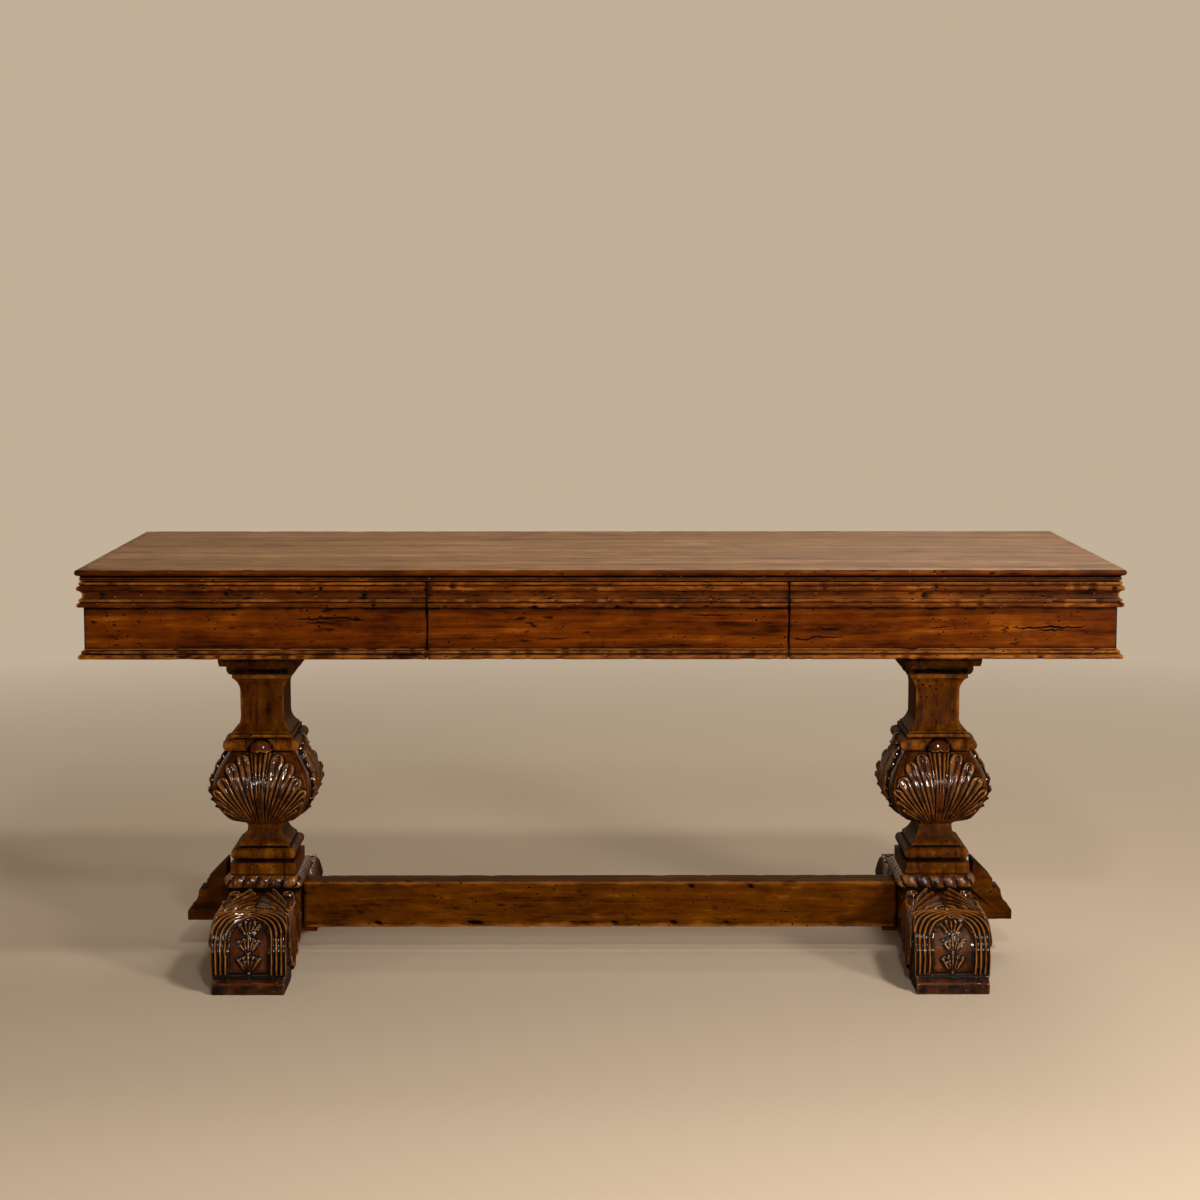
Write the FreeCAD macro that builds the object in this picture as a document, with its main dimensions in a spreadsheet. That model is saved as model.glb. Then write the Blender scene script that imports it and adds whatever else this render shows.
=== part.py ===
import FreeCAD, Part
import math
import os
import types

import Sketcher
from FreeCAD import Placement, Rotation, Vector

# A refectory table: moulded top, apron with three drawers, two carved trestles and a stretcher.
# Millimetres, +Z up, front towards -Y, origin on the floor under the centre of the top.

SIZES = {
    # Top and its moulded edge
    "table_height": 770,
    "top_length": 1830,
    "top_depth": 760,
    "top_thickness": 20,
    "top_overhang": 13,
    "lipping_width": 28,
    "nosing_height": 9,
    "edge_fillet_height": 4,
    "edge_fillet_setback": 7,
    "edge_cove_setback": 9,
    # Apron and its mouldings
    "apron_height": 138,
    "apron_board": 22,
    "reveal_gap": 3,
    "cornice_height": 44,
    "cornice_projection": 11,
    "cornice_nose_height": 9.5,
    "cornice_bead_height": 8.5,
    "cornice_fillet_height": 5,
    "bead_moulding_height": 18,
    "bead_projection": 10.5,
    "bead_height": 9.5,
    # Carcass inside the apron
    "rail_depth": 40,
    "rail_thickness": 15,
    "bearer_thickness": 24,
    "bearer_width": 150,
    "partition_thickness": 22,
    "runner_section": 16,
    "runner_clearance": 0.3,
    # Drawers
    "centre_drawer_width": 632,
    "centre_drawer_shift": 12.4,
    "drawer_seam": 2,
    "drawer_clearance": 1,
    "drawer_back_space": 30,
    "drawer_lift": 8,
    "side_thickness": 12,
    "side_housing": 8,
    "bottom_thickness": 7,
    "bottom_groove": 6,
    "bottom_height": 8,
    # Trestles, widths across the front; every level is deeper by plan_stretch
    "trestle_inset": 284,
    "plan_stretch": 44,
    "plate_height": 52,
    "plate_width": 164,
    "plate_foot_width": 142,
    "plate_ovolo_height": 20,
    "bed_height": 17,
    "bed_width": 126,
    "bed_foot_width": 114,
    "neck_width": 81,
    "neck_length": 47.7,
    "neck_flare_height": 26,
    "neck_flare_width": 104,
    "neck_fillet_width": 109,
    "neck_fillet_height": 8,
    "collar_fillet_height": 4.5,
    "collar_width": 118,
    "collar_height": 8.5,
    "torus_width": 142,
    "torus_height": 22.5,
    "bulb_width": 196,
    "bulb_height": 147.5,
    "waist_width": 62,
    "waist_height": 32,
    "waist_foot_width": 97,
    "waist_fillet_height": 5.5,
    "base_torus_width": 121,
    "base_torus_height": 21.3,
    "base_recess_height": 6,
    "die_width": 122,
    "die_height": 22,
    "rope_width": 150,
    "rope_height": 25,
    "hub_width": 131,
    "hub_height": 98.5,
    "hub_clearance": 42,
    # Feet
    "foot_reach": 330,
    "foot_width": 135,
    "foot_toe_setback": 12,
    "foot_toe_height": 76,
    "foot_crest_reach": 246,
    "foot_crest_height": 130,
    "foot_heel_height": 138,
    "foot_shoulder": 45,
    "pad_length": 118,
    "pad_width": 131,
    "pad_height": 27,
    # Bracket on the outer side of each hub, measured from the floor and from the trestle axis
    "bracket_thickness": 62,
    "bracket_bottom": 67,
    "bracket_reach": 150,
    "bracket_toe_height": 18,
    "bracket_ledge_height": 59,
    "bracket_ledge_reach": 128,
    "bracket_step_reach": 113,
    "bracket_shoulder_height": 78,
    "bracket_top_reach": 79,
    "bracket_top_height": 113,
    # Stretcher
    "stretcher_thickness": 62,
    "stretcher_height": 87,
    "stretcher_margin": 1,
    "cleat_length": 28,
    "cleat_height": 9,
    # Joints
    "fit_clearance": 0.2,
    "tenon_length": 28,
    "tenon_width": 44,
    "tenon_height": 44,
    "post_tenon_length": 40,
    "screw_diameter": 4.5,
    "screw_head_diameter": 9,
    "screw_head_height": 3.5,
    "screw_bite": 12,
    "bolt_diameter": 8,
    "bolt_head_diameter": 14,
    "bolt_head_height": 5.3,
    "bolt_bite": 38,
    "bolt_spread": 104,
    "peg_diameter": 10,
}

BOARD_COUNT = 5
SCREW_STATIONS = (-0.8, -0.4, 0.0, 0.4, 0.8)
# Share of the bulb height, and share of the bulb width there
BULB_SECTIONS = (
    (0.00, 0.37),
    (0.06, 0.64),
    (0.16, 0.82),
    (0.30, 0.945),
    (0.48, 1.00),
    (0.66, 0.95),
    (0.84, 0.82),
    (1.00, 0.66),
)
BULB_CORNER = 0.35
PLANES = {
    "XY": Rotation(),
    "XZ": Rotation(Vector(1, 0, 0), 90),
    "YZ": Rotation(Vector(1, 1, 1), 120),
}


class Term:
    """A length worked out from the sheet: the text of its expression and its value."""

    def __init__(self, text, value):
        self.text = text
        self.value = value

    def joined(self, sign, other, value):
        return Term(f"({self.text} {sign} {other.text})", value)

    def __add__(self, other):
        other = term(other)
        return self.joined("+", other, self.value + other.value)

    def __sub__(self, other):
        other = term(other)
        return self.joined("-", other, self.value - other.value)

    def __mul__(self, other):
        other = term(other)
        return self.joined("*", other, self.value * other.value)

    def __truediv__(self, other):
        other = term(other)
        return self.joined("/", other, self.value / other.value)

    def __rsub__(self, other):
        return term(other) - self

    def __neg__(self):
        return term(0) - self

    __radd__ = __add__
    __rmul__ = __mul__


def term(number):
    return number if isinstance(number, Term) else Term(str(number), number)


doc = FreeCAD.newDocument("trestle_table")
finished = []


def make_sheet():
    """Write every driving size into the sheet and hand the sizes back as terms."""
    sheet = doc.addObject("Spreadsheet::Sheet", "Sizes")
    for row, (alias, number) in enumerate(SIZES.items(), start=1):
        sheet.set(f"A{row}", alias)
        sheet.set(f"B{row}", str(number))
        sheet.setAlias(f"B{row}", alias)
    doc.recompute()
    return types.SimpleNamespace(
        **{alias: Term(f"Sizes.{alias}", float(sheet.get(alias))) for alias in SIZES}
    )


size = make_sheet()


def bind(item, prop, length):
    item.setExpression(prop, term(length).text)


def place(item, x=0, y=0, z=0, turn=0):
    """Put an object at a bound point, turned about the vertical."""
    spot = Vector(term(x).value, term(y).value, term(z).value)
    item.Placement = Placement(spot, Rotation(Vector(0, 0, 1), turn))
    for axis, length in zip("xyz", (x, y, z)):
        bind(item, f"Placement.Base.{axis}", length)
    return item


def finish(item):
    """Mark an object as a piece of the table, written to its own file."""
    finished.append(item)
    return item


def box(label, x, y, z):
    """A board between the given low and high limits."""
    item = doc.addObject("Part::Box", label)
    for prop, (low, high) in zip(("Length", "Width", "Height"), (x, y, z)):
        bind(item, prop, high - low)
    return place(item, x[0], y[0], z[0])


def around(half):
    half = term(half)
    return -half, half


def cylinder(label, x, y, z, radius):
    item = doc.addObject("Part::Cylinder", label)
    bind(item, "Radius", radius)
    bind(item, "Height", z[1] - z[0])
    return place(item, x, y, z[0])


def group(label, items):
    item = doc.addObject("Part::Compound", label)
    item.Links = items
    return item


def cut(label, base, tools):
    item = doc.addObject("Part::Cut", label)
    item.Base = base
    item.Tool = tools[0] if len(tools) == 1 else group(f"{label}_tools", tools)
    return item


def fuse(label, items):
    item = doc.addObject("Part::MultiFuse", label)
    item.Shapes = items
    return item


def common(label, first, second):
    item = doc.addObject("Part::Common", label)
    item.Base = first
    item.Tool = second
    return item


def tangent_radius(run, rise):
    """Radius of an arc that leaves one end square to the run and covers run by rise."""
    return (run * run + rise * rise) / (run * 2)


def arc_between(start, end, bend):
    """Arc from start to end; a positive bend has its centre on the left of the way."""
    chord = end - start
    side = 1 if bend > 0 else -1
    left = Vector(-chord.y, chord.x, 0).normalize() * side
    sagitta = abs(bend) - math.sqrt(max(bend * bend - chord.Length ** 2 / 4, 0))
    return Part.Arc(start, (start + end) * 0.5 - left * sagitta, end)


def end_at(sketch, index, point):
    return 1 if sketch.getPoint(index, 1).distanceToPoint(point) < 1e-6 else 2


def draw(sketch, outline):
    """Draw a closed outline of (u, v) or (u, v, bend to the next corner), fully bound."""
    corners = [Vector(term(row[0]).value, term(row[1]).value, 0) for row in outline]
    count = len(corners)
    for index, row in enumerate(outline):
        start, end = corners[index], corners[(index + 1) % count]
        if len(row) == 3:
            sketch.addGeometry(arc_between(start, end, row[2].value))
        else:
            sketch.addGeometry(Part.LineSegment(start, end))
    rules, bound = [], []
    for index, row in enumerate(outline):
        here = end_at(sketch, index, corners[index])
        before = (index - 1) % count
        there = end_at(sketch, before, corners[index])
        rules.append(Sketcher.Constraint("Coincident", before, there, index, here))
        for kind, length in zip(("DistanceX", "DistanceY"), row):
            bound.append((len(rules), length))
            rules.append(Sketcher.Constraint(kind, index, here, term(length).value))
        if len(row) == 3:
            bend = row[2] if row[2].value > 0 else -row[2]
            bound.append((len(rules), bend))
            rules.append(Sketcher.Constraint("Radius", index, bend.value))
    sketch.addConstraint(rules)
    for index, length in bound:
        bind(sketch, f"Constraints[{index}]", length)
    return sketch


def loose_sketch(label, plane, outline):
    sketch = doc.addObject("Sketcher::SketchObject", label)
    sketch.Placement = Placement(Vector(), PLANES[plane])
    return draw(sketch, outline)


def extrude(label, sketch, forward, backward):
    item = doc.addObject("Part::Extrusion", label)
    item.Base = sketch
    item.DirMode = "Normal"
    item.Solid = True
    bind(item, "LengthFwd", forward)
    bind(item, "LengthRev", backward)
    return item


def pad(body, label, plane, outline, length):
    """Add a symmetric pad of an outline drawn on one of the body's own planes."""
    planes = {feature.Role: feature for feature in body.Origin.OriginFeatures}
    sketch = body.newObject("Sketcher::SketchObject", f"{label}_sketch")
    sketch.AttachmentSupport = (planes[f"{plane}_Plane"], [""])
    sketch.MapMode = "FlatFace"
    draw(sketch, outline)
    item = body.newObject("PartDesign::Pad", label)
    item.Profile = sketch
    item.SideType = "Symmetric"
    bind(item, "Length", length)
    return item


def rectangle(u, v):
    return [(u[0], v[0]), (u[1], v[0]), (u[1], v[1]), (u[0], v[1])]


def silhouette(levels, widen):
    """Outline of (half width, height, optional bend) levels and their mirror."""
    right = [(row[0] + widen, *row[1:]) for row in levels]
    left = []
    for index in range(len(levels) - 1, -1, -1):
        bend = levels[index - 1][2:] if index else ()
        left.append((-(levels[index][0] + widen), levels[index][1], *bend))
    return right[:-1] + [right[-1][:2]] + left


def moulded_block(label, levels, reach):
    """A block with the same moulding on four sides, deeper than wide by plan_stretch."""
    widen = size.plan_stretch / 2
    front = loose_sketch(f"{label}_front_view", "XZ", silhouette(levels, term(0)))
    side = loose_sketch(f"{label}_side_view", "YZ", silhouette(levels, widen))
    deep = reach + widen
    return common(
        label,
        extrude(f"{label}_across", front, deep, deep),
        extrude(f"{label}_along", side, reach, reach),
    )


# Shared levels and faces
half_length = size.top_length / 2
half_depth = size.top_depth / 2
top_under = size.table_height - size.top_thickness
apron_bottom = top_under - size.apron_height
front_top = top_under - size.reveal_gap
face_x = half_length - size.top_overhang
face_y = half_depth - size.top_overhang
inner_x = face_x - size.apron_board
inner_y = face_y - size.apron_board
field_x = half_length - size.lipping_width
field_y = half_depth - size.lipping_width
rail_front = -inner_y + size.drawer_clearance
rail_back = rail_front + size.rail_depth
rail_under = top_under - size.rail_thickness
bearer_top = apron_bottom + size.bearer_thickness
box_bottom = bearer_top + size.drawer_lift
box_top = rail_under - 2
trestle_x = half_length - size.trestle_inset
hub_bottom = size.hub_clearance
hub_top = hub_bottom + size.hub_height
rope_top = hub_top + size.rope_height
post_bottom = rope_top + size.die_height
plate_bottom = apron_bottom - size.plate_height
post_top = plate_bottom - size.bed_height
hub_x = size.hub_width / 2
hub_y = hub_x + size.plan_stretch / 2
tenon_half = size.tenon_width / 2
fit = size.fit_clearance


def screw_holes(label, y, grow):
    """Cylinders on the screw stations of one rail, widened by grow."""
    shank = size.screw_diameter / 2 + grow
    head = size.screw_head_diameter / 2 + grow
    shank_z = (rail_under, top_under + size.screw_bite + grow)
    head_z = (rail_under, rail_under + size.screw_head_height + grow)
    shanks, heads = [], []
    for index, share in enumerate(SCREW_STATIONS):
        x = inner_x * share
        shanks.append(cylinder(f"{label}_shank_{index}", x, y, shank_z, shank))
        heads.append(cylinder(f"{label}_head_{index}", x, y, head_z, head))
    return shanks, heads


def make_top():
    """Glued boards, with blind holes for the screws in the outer two."""
    boards = []
    width = field_y * 2 / BOARD_COUNT
    for index in range(BOARD_COUNT):
        low = -field_y + width * index
        name = f"top_board_{index + 1}"
        board = box(name, around(field_x), (low, low + width), (top_under, size.table_height))
        if index in (0, BOARD_COUNT - 1):
            y = -rail_middle() if index == 0 else rail_middle()
            shanks, _ = screw_holes(f"{name}_hole", y, fit / 2)
            board = cut(f"{name}_drilled", board, shanks)
        boards.append(board)
    finish(group("top_boards", boards))


def rail_middle():
    return inner_y - size.drawer_clearance - size.rail_depth / 2


def make_rails():
    """Rails that carry the top, drilled for its screws, and the rail under the drawers."""
    front_y = (rail_front, rail_back)
    back_y = (inner_y - size.rail_depth - size.drawer_clearance, inner_y)
    screws = []
    for name, y, middle in (
        ("front_top_rail", front_y, -rail_middle()),
        ("back_top_rail", back_y, rail_middle()),
    ):
        rail = box(f"{name}_blank", around(inner_x), y, (rail_under, top_under))
        shanks, heads = screw_holes(f"{name}_hole", middle, fit / 2)
        rail = cut(f"{name}_drilled", rail, shanks)
        finish(cut(name, rail, heads))
        shanks, heads = screw_holes(f"{name}_screw", middle, term(0))
        for index, (shank, head) in enumerate(zip(shanks, heads)):
            screws.append(fuse(f"{name}_screw_{index}", [shank, head]))
    finish(group("top_screws", screws))
    finish(box("front_bottom_rail", around(inner_x), front_y, (apron_bottom, bearer_top)))


def edge_profile():
    """Section of the moulded edge of the top, outwards towards -Y."""
    width = size.lipping_width
    nose = size.nosing_height / 2
    fillet = -(width - size.edge_fillet_setback)
    nose_foot = size.top_thickness - size.nosing_height
    return [
        (0, 0),
        (fillet, 0),
        (fillet, size.edge_fillet_height),
        (-(width - size.edge_cove_setback), size.edge_fillet_height, -size.nosing_height),
        (-(width - nose), nose_foot, -nose),
        (-width, nose_foot + nose, -nose),
        (-(width - nose), size.top_thickness),
        (0, size.top_thickness),
    ]


def cornice_profile():
    """Bead, cove, nose and fillet from the bottom up."""
    out = size.cornice_projection
    bead = size.cornice_bead_height / 2
    nose = size.cornice_nose_height / 2
    nose_top = size.cornice_height - size.cornice_fillet_height - 0.7
    nose_foot = nose_top - nose * 2
    cove_foot = bead * 2 + 1.5
    return [
        (0, 0),
        (-(out - bead), 0, -bead),
        (-out, bead, -bead),
        (-(out - bead), bead * 2),
        (-(out - 3.5), cove_foot, (nose_foot - cove_foot) * 0.87),
        (-(out - nose), nose_foot, -nose),
        (-out, nose_foot + nose, -nose),
        (-(out - nose), nose_top),
        (-(out - 4.5), nose_top + 0.7),
        (-(out - 4.5), size.cornice_height),
        (0, size.cornice_height),
    ]


def bead_profile():
    """Half-round bead with a small hollow above it."""
    out = size.bead_projection
    bead = size.bead_height / 2
    hollow_foot = bead * 2 + 1
    hollow_top = size.bead_moulding_height - 1
    return [
        (0, 0),
        (-(out - bead), 0, -bead),
        (-out, bead, -bead),
        (-(out - bead), bead * 2),
        (-(out - bead - 0.5), hollow_foot, (hollow_top - hollow_foot) * 1.05),
        (-1, hollow_top),
        (-1, size.bead_moulding_height),
        (0, size.bead_moulding_height),
    ]


PROFILES = {
    "edge": (edge_profile(), size.lipping_width, size.top_thickness),
    "cornice": (cornice_profile(), size.cornice_projection, size.cornice_height),
    "bead": (bead_profile(), size.bead_projection, size.bead_moulding_height),
}
SIDES = {"front": 0, "right": 90, "back": 180, "left": 270}


def side_spot(side):
    """Middle of the apron face on one side."""
    return {
        "front": (term(0), -face_y),
        "right": (face_x, term(0)),
        "back": (term(0), face_y),
        "left": (-face_x, term(0)),
    }[side]


def mitred_prism(label, run, mitres, inner, outer, height):
    """A prism along X; mitred ends grow with the distance out from the apron face."""
    item = doc.addObject("Part::Wedge", label)
    low, high = run
    for prop, length in (
        ("Ymin", -outer),
        ("Ymax", inner),
        ("Zmin", term(0)),
        ("Zmax", height),
        ("Z2min", term(0)),
        ("Z2max", height),
        ("Xmin", low - outer if mitres[0] else low),
        ("Xmax", high + outer if mitres[1] else high),
        ("X2min", low + inner if mitres[0] else low),
        ("X2max", high - inner if mitres[1] else high),
    ):
        bind(item, prop, length)
    return item


def moulding(label, kind, run, mitres, spot, z, turn):
    """A length of one profile, mitred or square at each end."""
    outline, outer, height = PROFILES[kind]
    sketch = loose_sketch(f"{label}_profile", "YZ", outline)
    stock = extrude(f"{label}_stock", sketch, run[1] + outer, outer - run[0])
    ends = mitred_prism(f"{label}_ends", run, mitres, term(0), outer, height)
    return finish(place(common(label, stock, ends), spot[0], spot[1], z, turn))


def make_top_edges():
    spots = {
        "front": (term(0), -field_y),
        "right": (field_x, term(0)),
        "back": (term(0), field_y),
        "left": (-field_x, term(0)),
    }
    for side, turn in SIDES.items():
        run = around(field_x if side in ("front", "back") else field_y)
        moulding(f"top_edge_{side}", "edge", run, (1, 1), spots[side], top_under, turn)


def make_fixed_apron():
    """End rails and back rail with their cornice and bead, mitred at every corner."""
    near = -(face_y - size.drawer_clearance)
    runs = {
        "left": ("end_{}_left", (-face_y, -near)),
        "right": ("end_{}_right", (near, face_y)),
        "back": ("back_{}", around(face_x)),
    }
    for side, (pattern, run) in runs.items():
        spot = side_spot(side)
        turn = SIDES[side]
        rail = mitred_prism(pattern.format("rail"), run, (1, 1), size.apron_board, term(0), size.apron_height)
        finish(place(rail, spot[0], spot[1], apron_bottom, turn))
        cornice_z = front_top - size.cornice_height
        moulding(pattern.format("cornice"), "cornice", run, (1, 1), spot, cornice_z, turn)
        moulding(pattern.format("bead"), "bead", run, (1, 1), spot, apron_bottom, turn)


seam_left = size.centre_drawer_shift - size.centre_drawer_width / 2
seam_right = size.centre_drawer_shift + size.centre_drawer_width / 2
half_seam = size.drawer_seam / 2
half_partition = size.partition_thickness / 2
# Name, run of the front, mitred ends, faces that guide the box
DRAWERS = (
    ("left", (-face_x, seam_left - half_seam), (1, 0), (-inner_x, seam_left - half_partition)),
    (
        "centre",
        (seam_left + half_seam, seam_right - half_seam),
        (0, 0),
        (seam_left + half_partition, seam_right - half_partition),
    ),
    ("right", (seam_right + half_seam, face_x), (0, 1), (seam_right + half_partition, inner_x)),
)


def make_drawer(name, run, mitres, guides):
    """Front with its mouldings, grooved sides housed in the front, a back and a bottom."""
    label = f"drawer_{name}"
    spot = side_spot("front")
    low = guides[0] + size.drawer_clearance
    high = guides[1] - size.drawer_clearance
    front_y = -inner_y - size.side_housing
    back_y = inner_y - size.drawer_back_space
    thick = size.side_thickness
    board = mitred_prism(f"{label}_board", run, mitres, size.apron_board, term(0), front_top - apron_bottom)
    place(board, spot[0], spot[1], apron_bottom)
    housings, sides = [], []
    groove_z = box_bottom + size.bottom_height
    for tag, x, groove in (
        ("a", (low, low + thick), (low + thick - size.bottom_groove, low + thick + 1)),
        ("b", (high - thick, high), (high - thick - 1, high - thick + size.bottom_groove)),
    ):
        housings.append(
            box(
                f"{label}_housing_{tag}",
                (x[0] - fit, x[1] + fit),
                (front_y - fit, -inner_y + 1),
                (box_bottom - fit, box_top + fit),
            )
        )
        side = box(f"{label}_side_{tag}", x, (front_y, back_y), (box_bottom, box_top))
        slot = box(
            f"{label}_groove_{tag}",
            groove,
            (front_y - 1, back_y + 1),
            (groove_z, groove_z + size.bottom_thickness + fit),
        )
        sides.append(cut(f"{label}_grooved_{tag}", side, [slot]))
    back = box(
        f"{label}_back",
        (low + thick, high - thick),
        (back_y - thick, back_y),
        (groove_z + size.bottom_thickness + fit, box_top),
    )
    finish(cut(f"{label}_front", board, housings))
    finish(group(f"{label}_box", sides + [back]))
    reach = thick - size.bottom_groove + fit
    finish(
        box(
            f"{label}_bottom",
            (low + reach, high - reach),
            (-inner_y, back_y),
            (groove_z + fit / 2, groove_z + fit / 2 + size.bottom_thickness),
        )
    )
    moulding(f"{label}_cornice", "cornice", run, mitres, spot, front_top - size.cornice_height, 0)
    moulding(f"{label}_bead", "bead", run, mitres, spot, apron_bottom, 0)


def make_carcass():
    """Partitions between the drawers, runners under them and bearers over the trestles."""
    inside_y = (rail_back, inner_y)
    for side, seam in (("left", seam_left), ("right", seam_right)):
        finish(
            box(
                f"partition_{side}",
                (seam - half_partition, seam + half_partition),
                inside_y,
                (apron_bottom, rail_under),
            )
        )
    runner_top = box_bottom - size.runner_clearance
    runner_z = (runner_top - size.runner_section, runner_top)
    runners = []
    for name, _, _, (low, high) in DRAWERS:
        for tag, x in (("a", (low, low + size.runner_section)), ("b", (high - size.runner_section, high))):
            runners.append(box(f"runner_{name}_{tag}", x, inside_y, runner_z))
    finish(group("drawer_runners", runners))


def bolt_spots(side):
    """Four bolt stations round the axis of one trestle."""
    half_x = size.bolt_spread / 2
    half_y = half_x + size.plan_stretch / 4
    return [(side * trestle_x + sx * half_x, sy * half_y) for sx in (-1, 1) for sy in (-1, 1)]


def make_bearers():
    bolts = []
    shank = size.bolt_diameter / 2
    head = size.bolt_head_diameter / 2
    for name, side in (("left", -1), ("right", 1)):
        middle = side * trestle_x
        half = size.bearer_width / 2
        x = (middle - half, middle + half)
        board = box(f"bearer_{name}_blank", x, (rail_back, inner_y), (apron_bottom, bearer_top))
        holes = []
        for index, (bolt_x, bolt_y) in enumerate(bolt_spots(side)):
            tag = f"bolt_{name}_{index}"
            through = (apron_bottom - 1, bearer_top + 1)
            holes.append(cylinder(f"{tag}_hole", bolt_x, bolt_y, through, shank + fit / 2))
            stem_z = (apron_bottom - size.bolt_bite, bearer_top)
            stem = cylinder(f"{tag}_stem", bolt_x, bolt_y, stem_z, shank)
            cap_z = (bearer_top, bearer_top + size.bolt_head_height)
            cap = cylinder(f"{tag}_cap", bolt_x, bolt_y, cap_z, head)
            bolts.append(fuse(tag, [stem, cap]))
        finish(cut(f"cross_bearer_{name}", board, holes))
    finish(group("bearer_bolts", bolts))


def make_capital(name, side):
    """Plate and bed under the apron, pierced by the tenon of the post."""
    foot = size.plate_foot_width / 2
    top = size.plate_width / 2
    ovolo_top = plate_bottom + size.plate_ovolo_height
    levels = [
        (foot, plate_bottom, size.plate_ovolo_height * 1.4),
        (top - 4, ovolo_top),
        (top, ovolo_top),
        (top, apron_bottom),
    ]
    plate = moulded_block(f"plate_{name}", levels, top + 5)
    hole = tenon_half + fit
    holes = [
        box(
            f"plate_{name}_mortise",
            around(hole),
            around(hole),
            (plate_bottom - 1, plate_bottom + size.post_tenon_length + fit),
        )
    ]
    deep = (apron_bottom - size.bolt_bite - fit, apron_bottom + 1)
    half_x = size.bolt_spread / 2
    half_y = half_x + size.plan_stretch / 4
    for index, (sx, sy) in enumerate(((-1, -1), (-1, 1), (1, -1), (1, 1))):
        holes.append(
            cylinder(
                f"plate_{name}_bolt_hole_{index}",
                sx * half_x,
                sy * half_y,
                deep,
                size.bolt_diameter / 2 + fit / 2,
            )
        )
    finish(place(cut(f"capital_plate_{name}", plate, holes), side * trestle_x))
    bed_foot = size.bed_foot_width / 2
    bed_top = size.bed_width / 2
    ovolo = size.bed_height / 2
    levels = [
        (bed_foot, post_top, ovolo * 1.4),
        (bed_top, post_top + ovolo),
        (bed_top, plate_bottom),
    ]
    bed = moulded_block(f"bed_{name}", levels, bed_top + 5)
    hole_box = box(
        f"bed_{name}_mortise", around(hole), around(hole), (post_top - 1, plate_bottom + 1)
    )
    finish(place(cut(f"capital_bed_{name}", bed, [hole_box]), side * trestle_x))


def post_levels():
    """Heights of the post's bands, shared out over the room between die and capital."""
    bands = {
        "recess": size.base_recess_height,
        "base_torus": size.base_torus_height,
        "waist_fillet": size.waist_fillet_height,
        "waist": size.waist_height,
        "bulb": size.bulb_height,
        "torus": size.torus_height,
        "collar": size.collar_height,
        "collar_fillet": size.collar_fillet_height,
        "low_flare": size.neck_flare_height,
        "neck": size.neck_length,
        "high_flare": size.neck_flare_height,
        "neck_fillet": size.neck_fillet_height,
    }
    share = (post_top - post_bottom) / sum(bands.values(), term(0))
    levels, z = {}, post_bottom
    for name, height in bands.items():
        levels[name] = (z, z + height * share)
        z = levels[name][1]
    return levels


post_z = post_levels()


def post_foot_levels():
    """Recess, torus, fillet and hollow waist up into the bulb."""
    torus_foot, torus_top = post_z["base_torus"]
    round_ = (torus_top - torus_foot) / 2
    torus = size.base_torus_width / 2
    fillet = size.waist_foot_width / 2
    waist_foot, waist_top = post_z["waist"]
    waist = size.waist_width / 2
    hollow = tangent_radius(fillet - waist, waist_top - waist_foot)
    return [
        (torus - round_, post_bottom),
        (torus - round_, torus_foot, round_),
        (torus, torus_foot + round_, round_),
        (torus - round_, torus_top),
        (fillet, torus_top),
        (fillet, waist_foot, -hollow),
        (waist, waist_top),
        (waist, waist_top + 6),
    ]


def post_neck_levels():
    """Torus over the bulb, two fillets, and the neck that flares to the capital."""
    foot, torus_top = post_z["torus"]
    round_ = (torus_top - foot) / 2
    torus = size.torus_width / 2
    collar_top = post_z["collar"][1]
    fillet_top = post_z["collar_fillet"][1]
    fillet = size.neck_fillet_width / 2
    flare = size.neck_flare_width / 2
    neck = size.neck_width / 2
    neck_foot, neck_top = post_z["neck"]
    flare_top = post_z["high_flare"][1]
    hollow = tangent_radius(flare - neck, neck_foot - fillet_top)
    return [
        (torus - round_, foot, round_),
        (torus, foot + round_, round_),
        (torus - round_, torus_top),
        (size.collar_width / 2, torus_top),
        (size.collar_width / 2, collar_top),
        (fillet, collar_top),
        (fillet, fillet_top),
        (flare, fillet_top, -hollow),
        (neck, neck_foot),
        (neck, neck_top, -hollow),
        (flare, flare_top),
        (fillet, flare_top),
        (fillet, post_top),
    ]


def rounded_rectangle(half_x, half_y, corner):
    return [
        (half_x - corner, -half_y, corner),
        (half_x, -half_y + corner),
        (half_x, half_y - corner, corner),
        (half_x - corner, half_y),
        (-(half_x - corner), half_y, corner),
        (-half_x, half_y - corner),
        (-half_x, -half_y + corner, corner),
        (-(half_x - corner), -half_y),
    ]


def make_bulb(label):
    """Bulb lofted through rounded rectangles."""
    foot, top = post_z["bulb"]
    sections = []
    for index, (share, width) in enumerate(BULB_SECTIONS):
        half = size.bulb_width * (width / 2)
        outline = rounded_rectangle(half, half + size.plan_stretch / 2, half * BULB_CORNER)
        sketch = loose_sketch(f"{label}_section_{index}", "XY", outline)
        sections.append(place(sketch, 0, 0, foot + (top - foot) * share))
    item = doc.addObject("Part::Loft", label)
    item.Sections = sections
    item.Solid = True
    return item


def make_post(name, side):
    """One carved post with a tenon at each end."""
    reach = size.bulb_width / 2
    foot = moulded_block(f"post_{name}_foot", post_foot_levels(), reach)
    neck = moulded_block(f"post_{name}_neck", post_neck_levels(), reach)
    bulb = make_bulb(f"post_{name}_bulb")
    tenon = around(tenon_half)
    low_tenon = box(
        f"post_{name}_low_tenon", tenon, tenon, (hub_top - size.post_tenon_length, post_bottom + 10)
    )
    high_tenon = box(
        f"post_{name}_high_tenon", tenon, tenon, (post_top - 10, plate_bottom + size.post_tenon_length)
    )
    post = fuse(f"post_{name}", [foot, bulb, neck, low_tenon, high_tenon])
    finish(place(post, side * trestle_x))


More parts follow.
